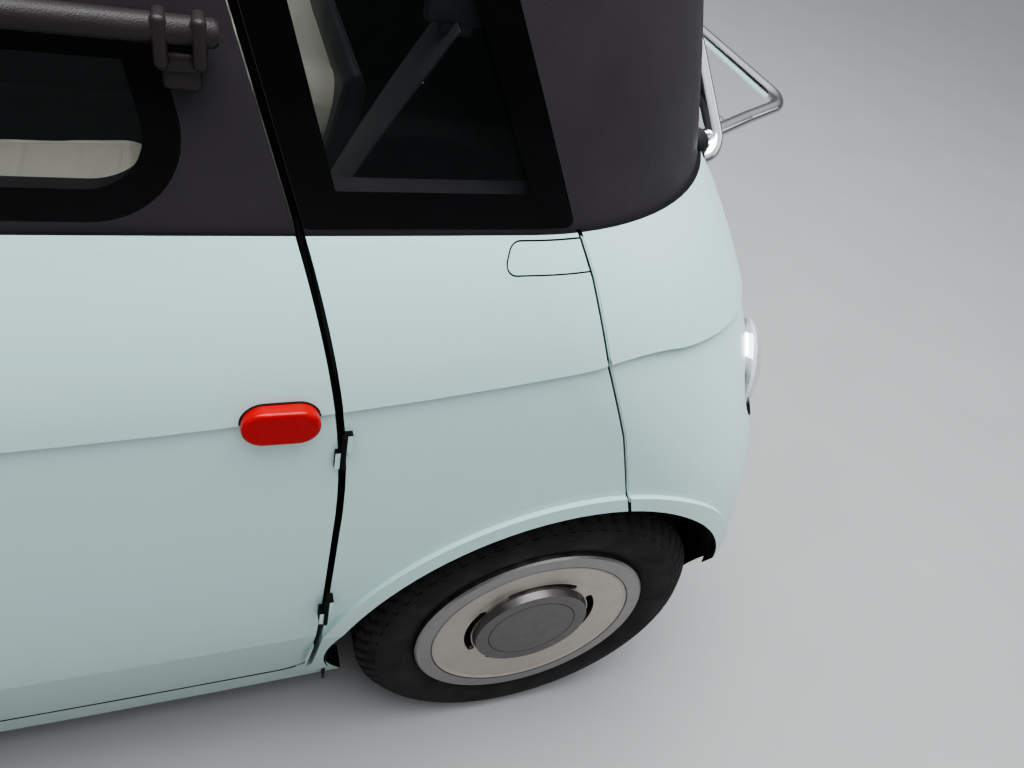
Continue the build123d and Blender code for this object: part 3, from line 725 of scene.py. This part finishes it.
def metal_material(name, colour, roughness, scratch=0.05):
    """Bare or bright metal with fine scratches."""
    s = Surface(name, colour, roughness, 1.0)
    s.vary_roughness(s.noise(60, 4), max(roughness - 0.03, 0.02), roughness + 0.06)
    s.bump(s.noise(900, 2), scratch, 0.0004)
    return s.material


def lens_red_material():
    """Red reflector plastic with its small prisms."""
    s = Surface("lens_red", (0.42, 0.0005, 0.001), 0.22, Specular_IOR_Level=0.3)
    s.mottle(s.cells(170), 0.35, (0.28, 0.0, 0.0005), 0.0, 1.0)
    s.bump(s.cells(170), 0.25, 0.0008)
    return s.material


def rubber_material():
    """Tyre rubber with some dust on it."""
    s = Surface("tyre_black", (0.011, 0.0105, 0.0108), 0.70, Specular_IOR_Level=0.25)
    s.mottle(s.noise(18, 5), 0.5, (0.026, 0.024, 0.023), 0.4, 0.75)
    s.vary_roughness(s.noise(25), 0.62, 0.82)
    s.bump(s.noise(1200, 3), 0.12, 0.0005)
    return s.material


def leather_material(name, colour):
    """Fine leathercloth, as on the seats."""
    s = Surface(name, colour, 0.48, Sheen_Weight=0.12)
    s.mottle(s.noise(10), 0.4, tuple(c * 0.88 for c in colour))
    s.vary_roughness(s.noise(40), 0.40, 0.56)
    s.bump(s.cells(700), 0.25, 0.0008)
    return s.material


def frit_material(name="printed_black"):
    """Glossy black, as printed along the edge of a pane."""
    s = Surface(name, (0.0025, 0.0025, 0.003), 0.14, Specular_IOR_Level=0.22)
    s.vary_roughness(s.noise(12), 0.07, 0.15)
    s.mottle(s.noise(30), 0.4, (0.005, 0.005, 0.006), 0.4, 0.8)
    return s.material


def lamp_white_material():
    """The opal ring of a lamp, which glows faintly."""
    s = Surface("lamp_opal", (0.82, 0.84, 0.86), 0.25, Transmission_Weight=0.25, Emission_Strength=0.12)
    s.set("Emission Color", (0.9, 0.95, 1.0, 1))
    s.bump(s.cells(350), 0.25, 0.0008)
    s.vary_roughness(s.noise(40), 0.2, 0.35)
    return s.material


def webbing_material():
    """Woven seat belt, finely ribbed."""
    s = Surface("belt_webbing", (0.012, 0.012, 0.013), 0.62, Sheen_Weight=0.15)
    ribs = s.stretched((60, 60, 900))
    s.bump(s.noise(1.0, 1, ribs), 0.6, 0.0006)
    s.mottle(s.noise(80), 0.5, (0.026, 0.026, 0.028), 0.0, 1.0)
    return s.material


def carpet_material():
    """Short black carpet."""
    s = Surface("floor_carpet", (0.020, 0.020, 0.021), 0.95)
    s.mottle(s.noise(400, 4), 0.8, (0.045, 0.044, 0.043), 0.3)
    s.bump(s.noise(700, 4), 0.8, 0.002)
    return s.material


def wheel_material():
    """One material for a wheel: outer ring, dished face, cap with its engraved line, dark barrel."""
    s = Surface("cover_champagne", (0.50, 0.465, 0.425), 0.34, 1.0)
    split = s.tree.nodes.new("ShaderNodeSeparateXYZ")
    s.join(s.place, split.inputs["Vector"])

    def math(operation, a, b=None):
        """A math node on one or two values."""
        node = s.tree.nodes.new("ShaderNodeMath")
        node.operation = operation
        for socket, value in zip(node.inputs, (a, b)):
            if isinstance(value, (int, float)):
                socket.default_value = value
            elif value is not None:
                s.join(value, socket)
        return node.outputs["Value"]

    along = math("SUBTRACT", math("ABSOLUTE", split.outputs["Y"]), axle_y)
    upward = math("SUBTRACT", split.outputs["Z"], axle_z)
    radius = math("SQRT", math("ADD", math("MULTIPLY", along, along), math("MULTIPLY", upward, upward)))

    def near(circle, reach):
        """Where the radius is within reach of a circle."""
        return math("LESS_THAN", math("ABSOLUTE", math("SUBTRACT", radius, circle)), reach)

    ring = math("GREATER_THAN", radius, ring_inner)
    cap = math("LESS_THAN", radius, cap_radius)
    line = near(line_radius, line_half)
    groove = near(ring_inner, groove_half)
    barrel = math("LESS_THAN", math("ABSOLUTE", split.outputs["X"]), barrel_x)
    s.mottle(s.noise(35, 4), 0.5, (0.44, 0.405, 0.37))
    s.blend_colour(ring, (0.300, 0.290, 0.290))
    s.blend_colour(cap, (0.170, 0.160, 0.158))
    s.blend_colour(line, (0.060, 0.056, 0.055))
    s.blend_colour(groove, (0.100, 0.095, 0.092))
    s.blend_colour(barrel, (0.012, 0.012, 0.012))
    s.vary_roughness(s.noise(60, 4), 0.30, 0.44)
    s.bump(s.noise(900, 2), 0.06, 0.0004)
    return s.material


def show_cad_nodes():
    """Give every CAD node that stays its finished material."""
    looks = {
        "body_paint": paint_material(),
        "dark_trim": trim_material(),
        "liner_black": trim_material("moulded_black", (0.012, 0.012, 0.012), 0.6, 900),
        "frame_black": trim_material("frame_paint", (0.020, 0.020, 0.021), 0.42, 500),
        "battery_grey": trim_material("battery_paint", (0.11, 0.115, 0.12), 0.45, 500),
        "cast_grey": metal_material("cast_metal", (0.36, 0.36, 0.37), 0.5, 0.3),
        "clear_glass": glass_material("window_glass", (0.004, 0.008, 0.008), 0.19),
        "roof_tint": glass_material("roof_glass_tint", (0.006, 0.009, 0.009), 0.34),
        "clear_lens": glass_material("lens_clear", (0.55, 0.60, 0.62), 0.22),
        "red_lens": lens_red_material(),
        "bright_chrome": metal_material("chrome", (0.83, 0.84, 0.85), 0.05, 0.01),
        "tyre_rubber": rubber_material(),
        "cover_silver": wheel_material(),
        "seat_cover": leather_material("seat_cream", (0.62, 0.60, 0.52)),
        "cabin_plastic": trim_material("dash_black", (0.030, 0.030, 0.032), 0.55, 900),
        "wheel_rim_grip": trim_material("grip_black", (0.018, 0.018, 0.019), 0.5, 1100),
    }
    for part in frame["record"]["subparts"]:
        node = nodes[part["node"]]
        node.data.materials.clear()
        node.data.materials.append(looks[part["material_slot"]])
    looks.update({
        "frit": frit_material(),
        # Near-black and matt: black plastic inside the panels, and painted shade on returns, hinge knuckles
        # and seam strips in the gaps
        "black_and_gap_shade": trim_material("black_and_gap_shade", (0.003, 0.003, 0.003), 0.9, 900),
        "lamp_white": lamp_white_material(),
        "moulded": trim_material("moulded_trim", (0.020, 0.020, 0.021), 0.5, 1300),
        "rubber_black": trim_material("rubber_soft", (0.010, 0.010, 0.010), 0.68, 1000),
        "bar_brown": trim_material("bar_satin", (0.026, 0.021, 0.022), 0.36, 900),
        "mirror_silver": metal_material("mirror_face", (0.86, 0.88, 0.90), 0.03, 0.0),
        "plate_white": trim_material("plate_face", (0.70, 0.70, 0.68), 0.35, 500),
        "seat_black": leather_material("seat_back_black", (0.022, 0.022, 0.023)),
        "piping": leather_material("piping_cream", (0.66, 0.63, 0.54)),
        "webbing": webbing_material(),
        "carpet": carpet_material(),
        "screen_black": frit_material("screen_glass"),
    })
    return looks


def stays_painted(polygon, mesh):
    """Whether a face lies on the outer skin or on an arch flare, and not in a hinge's gap."""
    centre = polygon.center
    side = 1 if centre.x > 0 else -1
    reach = max(abs(side * mesh.vertices[index].co.y - hinge_y) for index in polygon.vertices)
    in_zone = any(low < centre.z < high for low, high in hinge_zones)
    if in_zone and reach < door_gap / 2 + hinge_slack:
        return False
    outward = Vector((centre.x / half_width, centre.y / half_length, 0)).normalized()
    if polygon.normal.dot(outward) >= skin_facing:
        return True
    from_axle = Vector((0, abs(centre.y) - axle_y, centre.z - axle_z))
    low, high = flare_reach
    if not arch_radius + low < from_axle.length < arch_radius + high:
        return False
    if centre.y < 0:
        from_axle.y = -from_axle.y
    return polygon.normal.dot(from_axle.normalized()) > flare_facing


def paint_outsides(looks):
    """Paint stays on the outer skin: inner faces of the panels are black plastic, and the returns of the
    panels and the hinge knuckles in the door gaps are near-black, as painted shade of the gaps and arches.
    """
    for part in frame["record"]["subparts"]:
        if part["material_slot"] != "body_paint":
            continue
        mesh = nodes[part["node"]].data
        mesh.materials.append(looks["black_and_gap_shade"])
        for polygon in mesh.polygons:
            if not stays_painted(polygon, mesh):
                polygon.material_index = 1


def add_window_borders(looks):
    """Black printed borders on every pane."""
    for name, (node, body, view, corners, radii, border) in windows.items():
        shape = (union_tree(node, "cabin_frame"), view, corners, radii, border_inset, border, looks["frit"])
        border_ring(f"{name}_border", *shape, body)
        if view == "side":
            border_ring(f"{name}_border_right", *shape, body.replace("left", "right"), mirrored=True)


def seam_rows(tree, end, section):
    """A seam's filling in section at each point of its run that has skin on both sides."""
    points = [Vector(p) for p in seam_points]
    run = [a.lerp(b, k / seam_steps) for a, b in zip(points, points[1:]) for k in range(seam_steps)]
    rows = []
    for y, z in [*run, points[-1]]:
        hit, _ = on_surface(tree, "side", end * (y + seam_reach), z)
        front, _ = on_surface(tree, "side", end * (y - panel_gap - seam_reach), z)
        if hit is None or front is None:
            continue
        slope = (front.x - hit.x) / (panel_gap + 2 * seam_reach)
        edge = hit.x + slope * seam_reach
        rows.append([(edge - slope * along + deep, y + along, z) for along, deep in section])
    return rows


def add_seams(looks):
    """Lips in the seams between the sides and the end panels, and black strips behind them as painted shade.
    """
    tree = union_tree("left_side", "rear_panel", "front_panel", "hatch_cover")
    fillings = (
        ("seam_lips", lip_section, "body_paint"),
        # A black strip behind each lip paints the seam's shade
        ("seam_shade_strips", seam_shade_section, "black_and_gap_shade"),
    )
    for name, section, look in fillings:
        bm = bmesh.new()
        for end in (1, -1):
            rows = seam_rows(tree, end, section)
            for side in (1, -1):
                rings = [[bm.verts.new((side * x, end * y, z)) for x, y, z in row] for row in rows]
                join_rings(bm, rings)
                cap_ends(bm, rings)
        bmesh.ops.recalc_face_normals(bm, faces=bm.faces)
        add_piece(name, bm, looks[look], smooth=40)


def door_edge_path(inset, depth):
    """The door's edge seen from the side, drawn in, as a path a little under the skin."""
    half = [(y - inset, z) for y, z in door_points]
    corners = [(-y, z) for y, z in half] + half[::-1]
    tree = union_tree("left_side", "left_door", "left_door_frame", "cabin_frame")
    low, high = door_felt
    path = rounded_outline(corners, door_radii + door_radii[::-1])
    outline = []
    for i, spot in enumerate(path):
        following = path[(i + 1) % len(path)]
        parts = max(1, int((following - spot).length / seal_step))
        for k in range(parts):
            y, z = spot.lerp(following, k / parts)
            inner_y = y * (1 - seal_felt_inset / max(abs(y), 0.05))
            hit, _ = on_surface(tree, "side", inner_y, min(max(z, low), high))
            outline.append(Vector((hit.x - depth, y, z)))
    return outline


def add_door_seals(looks):
    """A black rubber seal deep in the gap round each door."""
    path = door_edge_path(-door_gap / 2, seal_depth)
    for side, name in sides:
        points = [(side * p.x, side * p.y, p.z) for p in path]
        swept(f"{name}_door_seal", points, round_section(seal_radius, 8), looks["rubber_black"])


def tread_depth(x, r, step):
    """How deep a sipe cuts a point of the tyre's section at a step of its turn."""
    if r > shoulder_low and abs(x) > shoulder_x:
        if (step + int(abs(x) * shoulder_slant)) % sipe_every == 0:
            return 0.0080 if r > shoulder_high else 0.0045
    elif r > crown_low and (step + int(x * crown_slant)) % sipe_every == 2:
        return 0.0030
    return 0.0


def tyre_mesh(side, end):
    """A tyre with shoulder rings, four tread grooves and slanted sipes."""
    profile = tyre_half_section + [(-x, r) for x, r in reversed(tyre_half_section)]
    bm = bmesh.new()
    rings = []
    for step in range(tread_steps):
        angle = 2 * pi * step / tread_steps
        ring = []
        for x, r in profile:
            reach = r - tread_depth(x, r, step)
            ring.append(bm.verts.new((side * x, reach * cos(angle), reach * sin(angle))))
        rings.append(ring)
    join_rings(bm, rings, closed=True)
    bmesh.ops.translate(bm, verts=bm.verts, vec=(side * wheel_x, end * axle_y, axle_z))
    bmesh.ops.recalc_face_normals(bm, faces=bm.faces)
    return bm


def add_tyres(looks):
    """The four tyres in place of the CAD ones."""
    for place, (side, end) in wheels.items():
        bm = tyre_mesh(side, end)
        tyre = add_piece(f"{place}_tyre_tread", bm, looks["tyre_rubber"], body=f"{place}_body", smooth=28)
        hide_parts(f"{place}_tyre")


def lens_profile(rim, dome):
    """A lamp's clear dome of even thickness, as (outward, radius)."""
    edge, rise = rim - lens_round, dome - lens_shoulder
    sphere = (edge**2 + rise**2) / (2 * rise)
    outer = [(-lens_collar, rim), (lens_collar, rim), (lens_shoulder, edge)]
    for k in range(1, lens_steps + 1):
        reach = edge * (1 - k / lens_steps)
        outer.append((lens_shoulder + sqrt(sphere**2 - reach**2) - (sphere - rise), reach))
    inner = [(a - lens_wall, max(b - lens_wall, 0.0)) for a, b in reversed(outer)]
    return outer + inner + outer[:1]


def bowl_profile(rim, depth):
    """The bright bowl behind a lens."""
    return [
        (-depth + 0.002, 0.0), (-depth + 0.002, rim * 0.30), (-depth + 0.006, rim * 0.55),
        (-depth * 0.55, rim * 0.80), (-0.008, rim - 0.006), (0.000, rim - 0.0045), (0.000, rim - 0.003),
        (-0.010, rim - 0.0035), (-depth, rim - 0.010), (-depth, 0.0),
    ]


def opal_profile(rim):
    """The opal ring just inside a lens."""
    return [
        (0.000, rim - 0.0035), (0.006, rim - 0.006), (0.008, rim - 0.012), (0.005, rim - 0.017),
        (-0.003, rim - 0.018), (-0.004, rim - 0.0045), (0.000, rim - 0.0035),
    ]


def unit_profile(size):
    """A round light unit."""
    return [(0, size), (0.006, size), (0.010, size * 0.92), (0.015, size * 0.6), (0.017, 0.0)]


def add_lamps(looks):
    """Each lamp is a thin clear dome over a bright bowl with its light units."""
    for name, units in lamp_units.items():
        x, end, tuck, height, radius, depth, dome, turn, tilt = lamps[name]
        rim = radius - lamp_play
        domes, bowls, rings, lights = [bmesh.new() for _ in range(4)]
        for side in (1, -1):
            place = Vector((side * x, end * (half_length - tuck), height))
            axis = Vector((side * sin(radians(turn)), end * cos(radians(turn)), sin(radians(tilt))))
            axis.normalize()
            lathe_into(domes, lens_profile(rim, dome), place, axis, 72)
            lathe_into(bowls, bowl_profile(rim, depth), place, axis, 72)
            lathe_into(rings, opal_profile(rim), place, axis, 72)
            across = axis.cross(Vector((0, 0, 1))).normalized()
            upward = across.cross(axis).normalized()
            for a, b, size in units:
                centre = place + across * (a * rim) + upward * (b * rim) + axis * (unit_lift - depth)
                lathe_into(lights, unit_profile(size * rim), centre, axis, 36)
        piece = add_piece(f"{name}_domes", domes, looks["clear_lens"], smooth=60)
        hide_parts(name)
        light_look = looks["red_lens"] if end > 0 else looks["clear_lens"]
        add_piece(f"{name}_bowls", bowls, looks["bright_chrome"], smooth=60)
        add_piece(f"{name}_rings", rings, looks["lamp_white"], smooth=60)
        add_piece(f"{name}_units", lights, light_look, smooth=60)


def add_window_bars(looks):
    """The bar between the panes, with a forked clamp and its screws at each end."""
    reach, full = bar_half_length, bar_half_length - 0.003
    bar_profile = [
        (-reach, 0), (-reach, bar_end_radius), (-full, bar_radius), (full, bar_radius),
        (reach, bar_end_radius), (reach, 0),
    ]
    for side, name in sides:
        bm = bmesh.new()
        lathe_into(bm, bar_profile, Vector((side * bar_x, 0, bar_height)), Vector((0, 1, 0)), 28)
        for end in (1, -1):
            y = end * clamp_y
            for size, inward, along, rise, bevel, segments in clamp_blocks:
                place = Vector((side * (bar_x - inward), y + along, bar_height + rise))
                block_into(bm, size, place, None, bevel, segments)
            for way in (-1, 1):
                place = Vector((side * bar_x, y + way * screw_offset, bar_height))
                lathe_into(bm, screw_profile, place, Vector((0, way, 0)), 18)
        piece = add_piece(
            f"{name}_bar_and_clamps", bm, looks["bar_brown"], body=f"{name}_door_body", smooth=40
        )
        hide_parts(f"{name}_window_bar")


def add_reflector_bases(looks):
    """A dark gasket round each side reflector."""
    tree = union_tree("left_door")
    y, z = reflector_place
    reach, rise = reflector_half
    for side, name in sides:
        near, far = side * y - reach, side * y + reach
        corners = [(near, z - rise), (far, z - rise), (far, z + rise), (near, z + rise)]
        path = []
        for spot in rounded_outline(corners, [reflector_corner] * 4):
            hit, _ = on_surface(tree, "side", side * spot.x, spot.y)
            path.append(Vector((side * (hit.x + gasket_lift), spot.x, spot.y)))
        section = round_section(gasket_radius, 6)
        swept(f"{name}_reflector_gasket", path, section, looks["rubber_black"], f"{name}_door_body")


def add_mirror_glass(looks):
    """A round silvered glass in each mirror."""
    for side, name in sides:
        bm = bmesh.new()
        x, y, z = mirror_place
        lathe_into(bm, mirror_profile, Vector((side * x, y, z)), Vector((0, 1, 0)), 56)
        add_piece(f"{name}_mirror_glass", bm, looks["mirror_silver"], smooth=50)


def add_plates(looks):
    """Blank number plates, front and rear, on dark carriers."""
    for end, name in ((-1, "front"), (1, "rear")):
        hit, _ = on_surface(union_tree(f"{name}_panel"), name, 0.0, plate_height)
        carrier = (carrier_size, (0, hit.y - end * 0.004, plate_height), 0.003)
        plate = (plate_size, (0, hit.y + end * 0.0009, plate_height), 0.0012)
        blocks(f"{name}_plate_carrier", looks["moulded"], carrier)
        blocks(f"{name}_plate", looks["plate_white"], plate)


def add_rack_fittings(looks):
    """Rubber rings where the rack's tubes meet the panel."""
    bm = bmesh.new()
    for side in (1, -1):
        feet = (
            ((side * 0.418, 0.985, 0.984), (0, 1, 0)),
            ((side * 0.414, 0.984, 1.0), (-side * 0.54, 0.84, 0)),
        )
        for spot, axis in feet:
            lathe_into(bm, rack_ring_profile, Vector(spot), Vector(axis).normalized(), 28)
    add_piece("rack_feet", bm, looks["rubber_black"], smooth=50)


def pad_form(size):
    """A closed pad blank: a box with round edges, a crowned upper face and a slight waist."""
    bm = bmesh.new()
    block_into(bm, size, Vector((0, 0, 0)), None, min(size) * 0.42, 4)
    for v in bm.verts:
        across, along = 2 * v.co.x / size[0], 2 * v.co.y / size[1]
        if v.co.z > 0:
            v.co.z += pad_crown * (1 - across**2) * (1 - along**2)
        pull = pad_waist * (1 - along**2)
        v.co.x -= pull * (1 if across > 0 else -1) * abs(across) ** 6
    return bm


def inflate(piece):
    """Swell a pad with a cloth simulation, each point no further than the cap."""
    bpy.context.view_layer.objects.active = piece
    piece.select_set(True)
    piece.data.remesh_voxel_size = pad_voxel
    bpy.ops.object.voxel_remesh()
    before = [v.co.copy() for v in piece.data.vertices]
    cloth = piece.modifiers.new("swell", "CLOTH")
    cloth.settings.use_pressure = True
    cloth.settings.uniform_pressure_force = 4
    cloth.settings.effector_weights.gravity = 0
    cloth.settings.quality = 5
    scene = bpy.context.scene
    for number in range(1, swell_frames + 1):
        scene.frame_set(number)
    moved = piece.evaluated_get(bpy.context.evaluated_depsgraph_get()).data
    after = [v.co.copy() for v in moved.vertices]
    piece.modifiers.remove(cloth)
    scene.frame_set(1)
    for vertex, start, end in zip(piece.data.vertices, before, after):
        shift = end - start
        if shift.length > pad_swell:
            shift = shift.normalized() * pad_swell
        vertex.co = start + shift
    piece.select_set(False)


def sew_channels(piece, lines, size):
    """Press seams into the upper face: lines across it and one that follows its border."""
    inner_x, inner_y = size[0] / 2 - sewn_border, size[1] / 2 - sewn_border
    for vertex in piece.data.vertices:
        x, y, z = vertex.co
        if z < 0:
            continue
        gap = min(abs(y - line) for line in lines)
        if abs(x) > inner_x:
            gap = 1
        edge = max(abs(x) - inner_x, abs(y) - inner_y)
        gap = min(gap, abs(edge))
        if gap < sewn_width * 3:
            vertex.co.z -= sewn_depth * exp(-((gap / sewn_width) ** 2))


def finish_pad(piece, material, turn):
    """Lay a pad where it belongs and give it its skin."""
    piece.data.transform(turn)
    piece.data.materials.clear()
    piece.data.materials.append(material)
    smooth = piece.modifiers.new("soften", "SUBSURF")
    smooth.levels = smooth.render_levels = 1
    for polygon in piece.data.polygons:
        polygon.use_smooth = True
    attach(piece, "car")


def seat_shell(side):
    """A seat's shell: its side outline over its width, with round edges."""
    bm = bmesh.new()
    rings = []
    for x in (-seat_half + shell_inset, seat_half - shell_inset):
        rings.append([bm.verts.new((side * seat_x + x, y, z)) for y, z in shell_outline])
    join_rings(bm, rings)
    cap_ends(bm, rings)
    edges = bm.edges[:]
    bmesh.ops.bevel(
        bm, geom=edges, offset=shell_bevel, segments=3, profile=0.5, affect="EDGES", clamp_overlap=True
    )
    bmesh.ops.recalc_face_normals(bm, faces=bm.faces)
    return bm


def add_seats(looks):
    """Two seats: a black shell, a cushion and a back pad with sewn channels and piping."""
    blanks = {}
    for kind, (size, lines, _, _) in pads.items():
        blanks[kind] = add_piece(f"{kind}_blank", pad_form(size), body=None, smooth=0)
        inflate(blanks[kind])
        sew_channels(blanks[kind], lines, size)
    for side, name in sides:
        shell = add_piece(f"{name}_seat_shell", seat_shell(side), looks["seat_black"], smooth=50)
        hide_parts(f"{name}_seat")
        for kind, (size, _, (y, z), tilt) in pads.items():
            turn = Matrix.Translation((side * seat_x, y, z)) @ Matrix.Rotation(tilt, 4, "X")
            piece = blanks[kind].copy()
            piece.data = blanks[kind].data.copy()
            piece.name = f"{name}_seat_{kind}"
            bpy.context.collection.objects.link(piece)
            finish_pad(piece, looks["seat_cover"], turn)
            a, b = size[0] / 2 - piping_inset, size[1] / 2 - piping_inset
            path = rounded_outline([(-a, -b), (a, -b), (a, b), (-a, b)], [piping_inset] * 4)
            loop = [turn @ Vector((p.x, p.y, size[2] / 2 + piping_lift)) for p in path]
            swept(f"{name}_{kind}_piping", loop, round_section(piping_radius, 8), looks["piping"])
    for blank in blanks.values():
        bpy.data.objects.remove(blank)


def add_belts(looks):
    """A belt behind each door, with its guide, buckle and red button."""
    for side, name in sides:
        points = bend_path([(side * x, y, z) for x, y, z in belt_points], belt_bend)
        section = flat_section(belt_width, belt_thickness)
        swept(f"{name}_belt", points, section, looks["webbing"], closed=False, up=Vector((0, 1, 0)))
        slot = ((0.012, 0.056, 0.026), (side * 0.576, 0.606, 1.178), 0.004)
        foot = ((0.014, 0.030, 0.016), (side * 0.574, 0.606, 1.164), 0.004)
        blocks(f"{name}_belt_guide", looks["moulded"], slot, foot)
        buckle = ((0.020, 0.050, 0.070), (side * buckle_x, 0.330, 0.545), 0.006, lean)
        stem = ((0.008, 0.026, 0.130), (side * buckle_x, 0.345, 0.450), 0.003, lean)
        blocks(f"{name}_belt_buckle", looks["moulded"], buckle, stem)
        button = ((0.012, 0.022, 0.010), (side * buckle_x, 0.318, 0.580), 0.003, lean)
        blocks(f"{name}_buckle_button", looks["red_lens"], button)


def add_arch_flaps(looks):
    """A black flap closes each rear wheel arch at its front, behind the sill's end: a liner, and painted
    shade where the floor would show between tyre and arch.
    """
    flaps = [((0.150, 0.004, 0.235), (side * 0.535, 0.5505, 0.245), 0.0018) for side in (1, -1)]
    blocks("rear_arch_flaps", looks["liner_black"], *flaps)


def add_cabin_floor(looks):
    """Mats on the floor and the luggage tray behind the seats."""
    blocks("floor_mats", looks["carpet"], ((1.060, 0.340, 0.006), (0, -0.250, 0.1935), 0.002))
    tray = ((0.660, 0.540, 0.010), (0, 0.830, 0.335), 0.004)
    tray_lip = ((0.660, 0.012, 0.110), (0, 0.566, 0.385), 0.004)
    blocks("luggage_tray", looks["carpet"], tray, tray_lip)


def add_door_cards(looks):
    """A moulded card with a raised pocket inside each door."""
    tree = union_tree("left_door")
    pocket_low, pocket_high = pocket_heights
    for side, name in sides:
        bm = bmesh.new()
        grid = []
        for i in range(card_columns + 1):
            y = -card_half + 2 * card_half * i / card_columns
            line = []
            for k in range(card_rows + 1):
                z = card_low + card_height * k / card_rows
                hit, _, _, _ = tree.ray_cast(Vector((0, y, z)), Vector((1, 0, 0)))
                edge = min(i, card_columns - i, k, card_rows - k)
                lift = card_lift + (card_rise if edge > 1 else 0.0)
                if pocket_low < z < pocket_high and abs(y) < pocket_half:
                    lift += pocket_lift
                line.append(bm.verts.new((side * (hit.x - lift), side * y, z)))
            grid.append(line)
        for i in range(card_columns):
            for k in range(card_rows):
                bm.faces.new((grid[i][k], grid[i + 1][k], grid[i + 1][k + 1], grid[i][k + 1]))
        bmesh.ops.recalc_face_normals(bm, faces=bm.faces)
        add_piece(f"{name}_door_card", bm, looks["cabin_plastic"], body=f"{name}_door_body", smooth=40)


def add_steering_wheel(looks):
    """A round rim, three spokes and a soft hub in place of the CAD wheel."""
    axis = Vector((0, cos(steering_tilt), sin(steering_tilt)))
    across = Vector((1, 0, 0))
    upward = axis.cross(across)
    bm = bmesh.new()
    loop = []
    for k in range(rim_steps):
        angle = 2 * pi * k / rim_steps
        spot = across * (rim_radius * cos(angle)) + upward * (rim_radius * sin(angle))
        loop.append(steering_centre + spot)
    sweep_into(bm, loop, round_section(grip_radius, 14), True, axis)
    lathe_into(bm, hub_profile, steering_centre, axis, 48)
    wheel_turn = Matrix((across, upward, axis)).transposed()
    for angle in spoke_angles:
        spin = wheel_turn @ Matrix.Rotation(radians(angle), 3, "Z")
        block_into(bm, (0.130, 0.026, 0.012), steering_centre + spin @ Vector((0.100, 0, 0)), spin, 0.005)
    bmesh.ops.recalc_face_normals(bm, faces=bm.faces)
    rim = looks["wheel_rim_grip"]
    piece = add_piece("steering_rim_and_spokes", bm, rim, body="steering_wheel_body", smooth=50)
    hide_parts("steering_wheel")


def add_dash_details(looks):
    """The instrument pod with its screen, air vents and column stalks."""
    pod = ((0.200, 0.030, 0.110), (0.290, -0.455, 0.945), 0.008, lean)
    blocks("instrument_pod", looks["cabin_plastic"], pod)
    screen = ((0.176, 0.003, 0.088), (0.290, -0.4385, 0.950), 0.001, lean)
    blocks("instrument_screen", looks["screen_black"], screen)
    vents = []
    for x in vent_places:
        for k in range(5):
            vents.append(((0.085, 0.012, 0.0035), (x, -0.452, 0.835 + vent_pitch * k), 0.001, lean))
    blocks("dash_vents", looks["moulded"], *vents)
    stalks = bmesh.new()
    for side in (1, -1):
        axis = Vector((side, 0.15, 0.1)).normalized()
        lathe_into(stalks, stalk_profile, Vector(stalk_start), axis, 16)
    add_piece("column_stalks", stalks, looks["moulded"])


def add_body_extras(looks):
    """Slats low on the front panel and round red reflectors low on the rear one."""
    tree = union_tree("front_panel")
    slats = []
    for k in range(4):
        z = 0.300 + slat_pitch * k
        hit, _ = on_surface(tree, "front", 0.0, z)
        slats.append(((0.520, 0.006, 0.010), (0, hit.y + 0.0015, z), 0.002))
    blocks("front_lower_slats", looks["moulded"], *slats)
    tree = union_tree("rear_panel")
    for side, label in sides:
        hit, normal = on_surface(tree, "rear", side * 0.36, 0.350)
        bm = bmesh.new()
        lathe_into(bm, [(0.0, 0.024), (0.003, 0.023), (0.004, 0.020), (0.004, 0.0)], hit, normal, 40)
        add_piece(f"{label}_bumper_reflector", bm, looks["red_lens"])


add_camera()
add_studio()
looks = show_cad_nodes()
paint_outsides(looks)
add_window_borders(looks)
add_door_seals(looks)
add_seams(looks)
add_tyres(looks)
add_lamps(looks)
add_window_bars(looks)
add_reflector_bases(looks)
add_mirror_glass(looks)
add_plates(looks)
add_rack_fittings(looks)
add_seats(looks)
add_belts(looks)
add_cabin_floor(looks)
add_door_cards(looks)
add_steering_wheel(looks)
add_dash_details(looks)
add_body_extras(looks)
add_arch_flaps(looks)
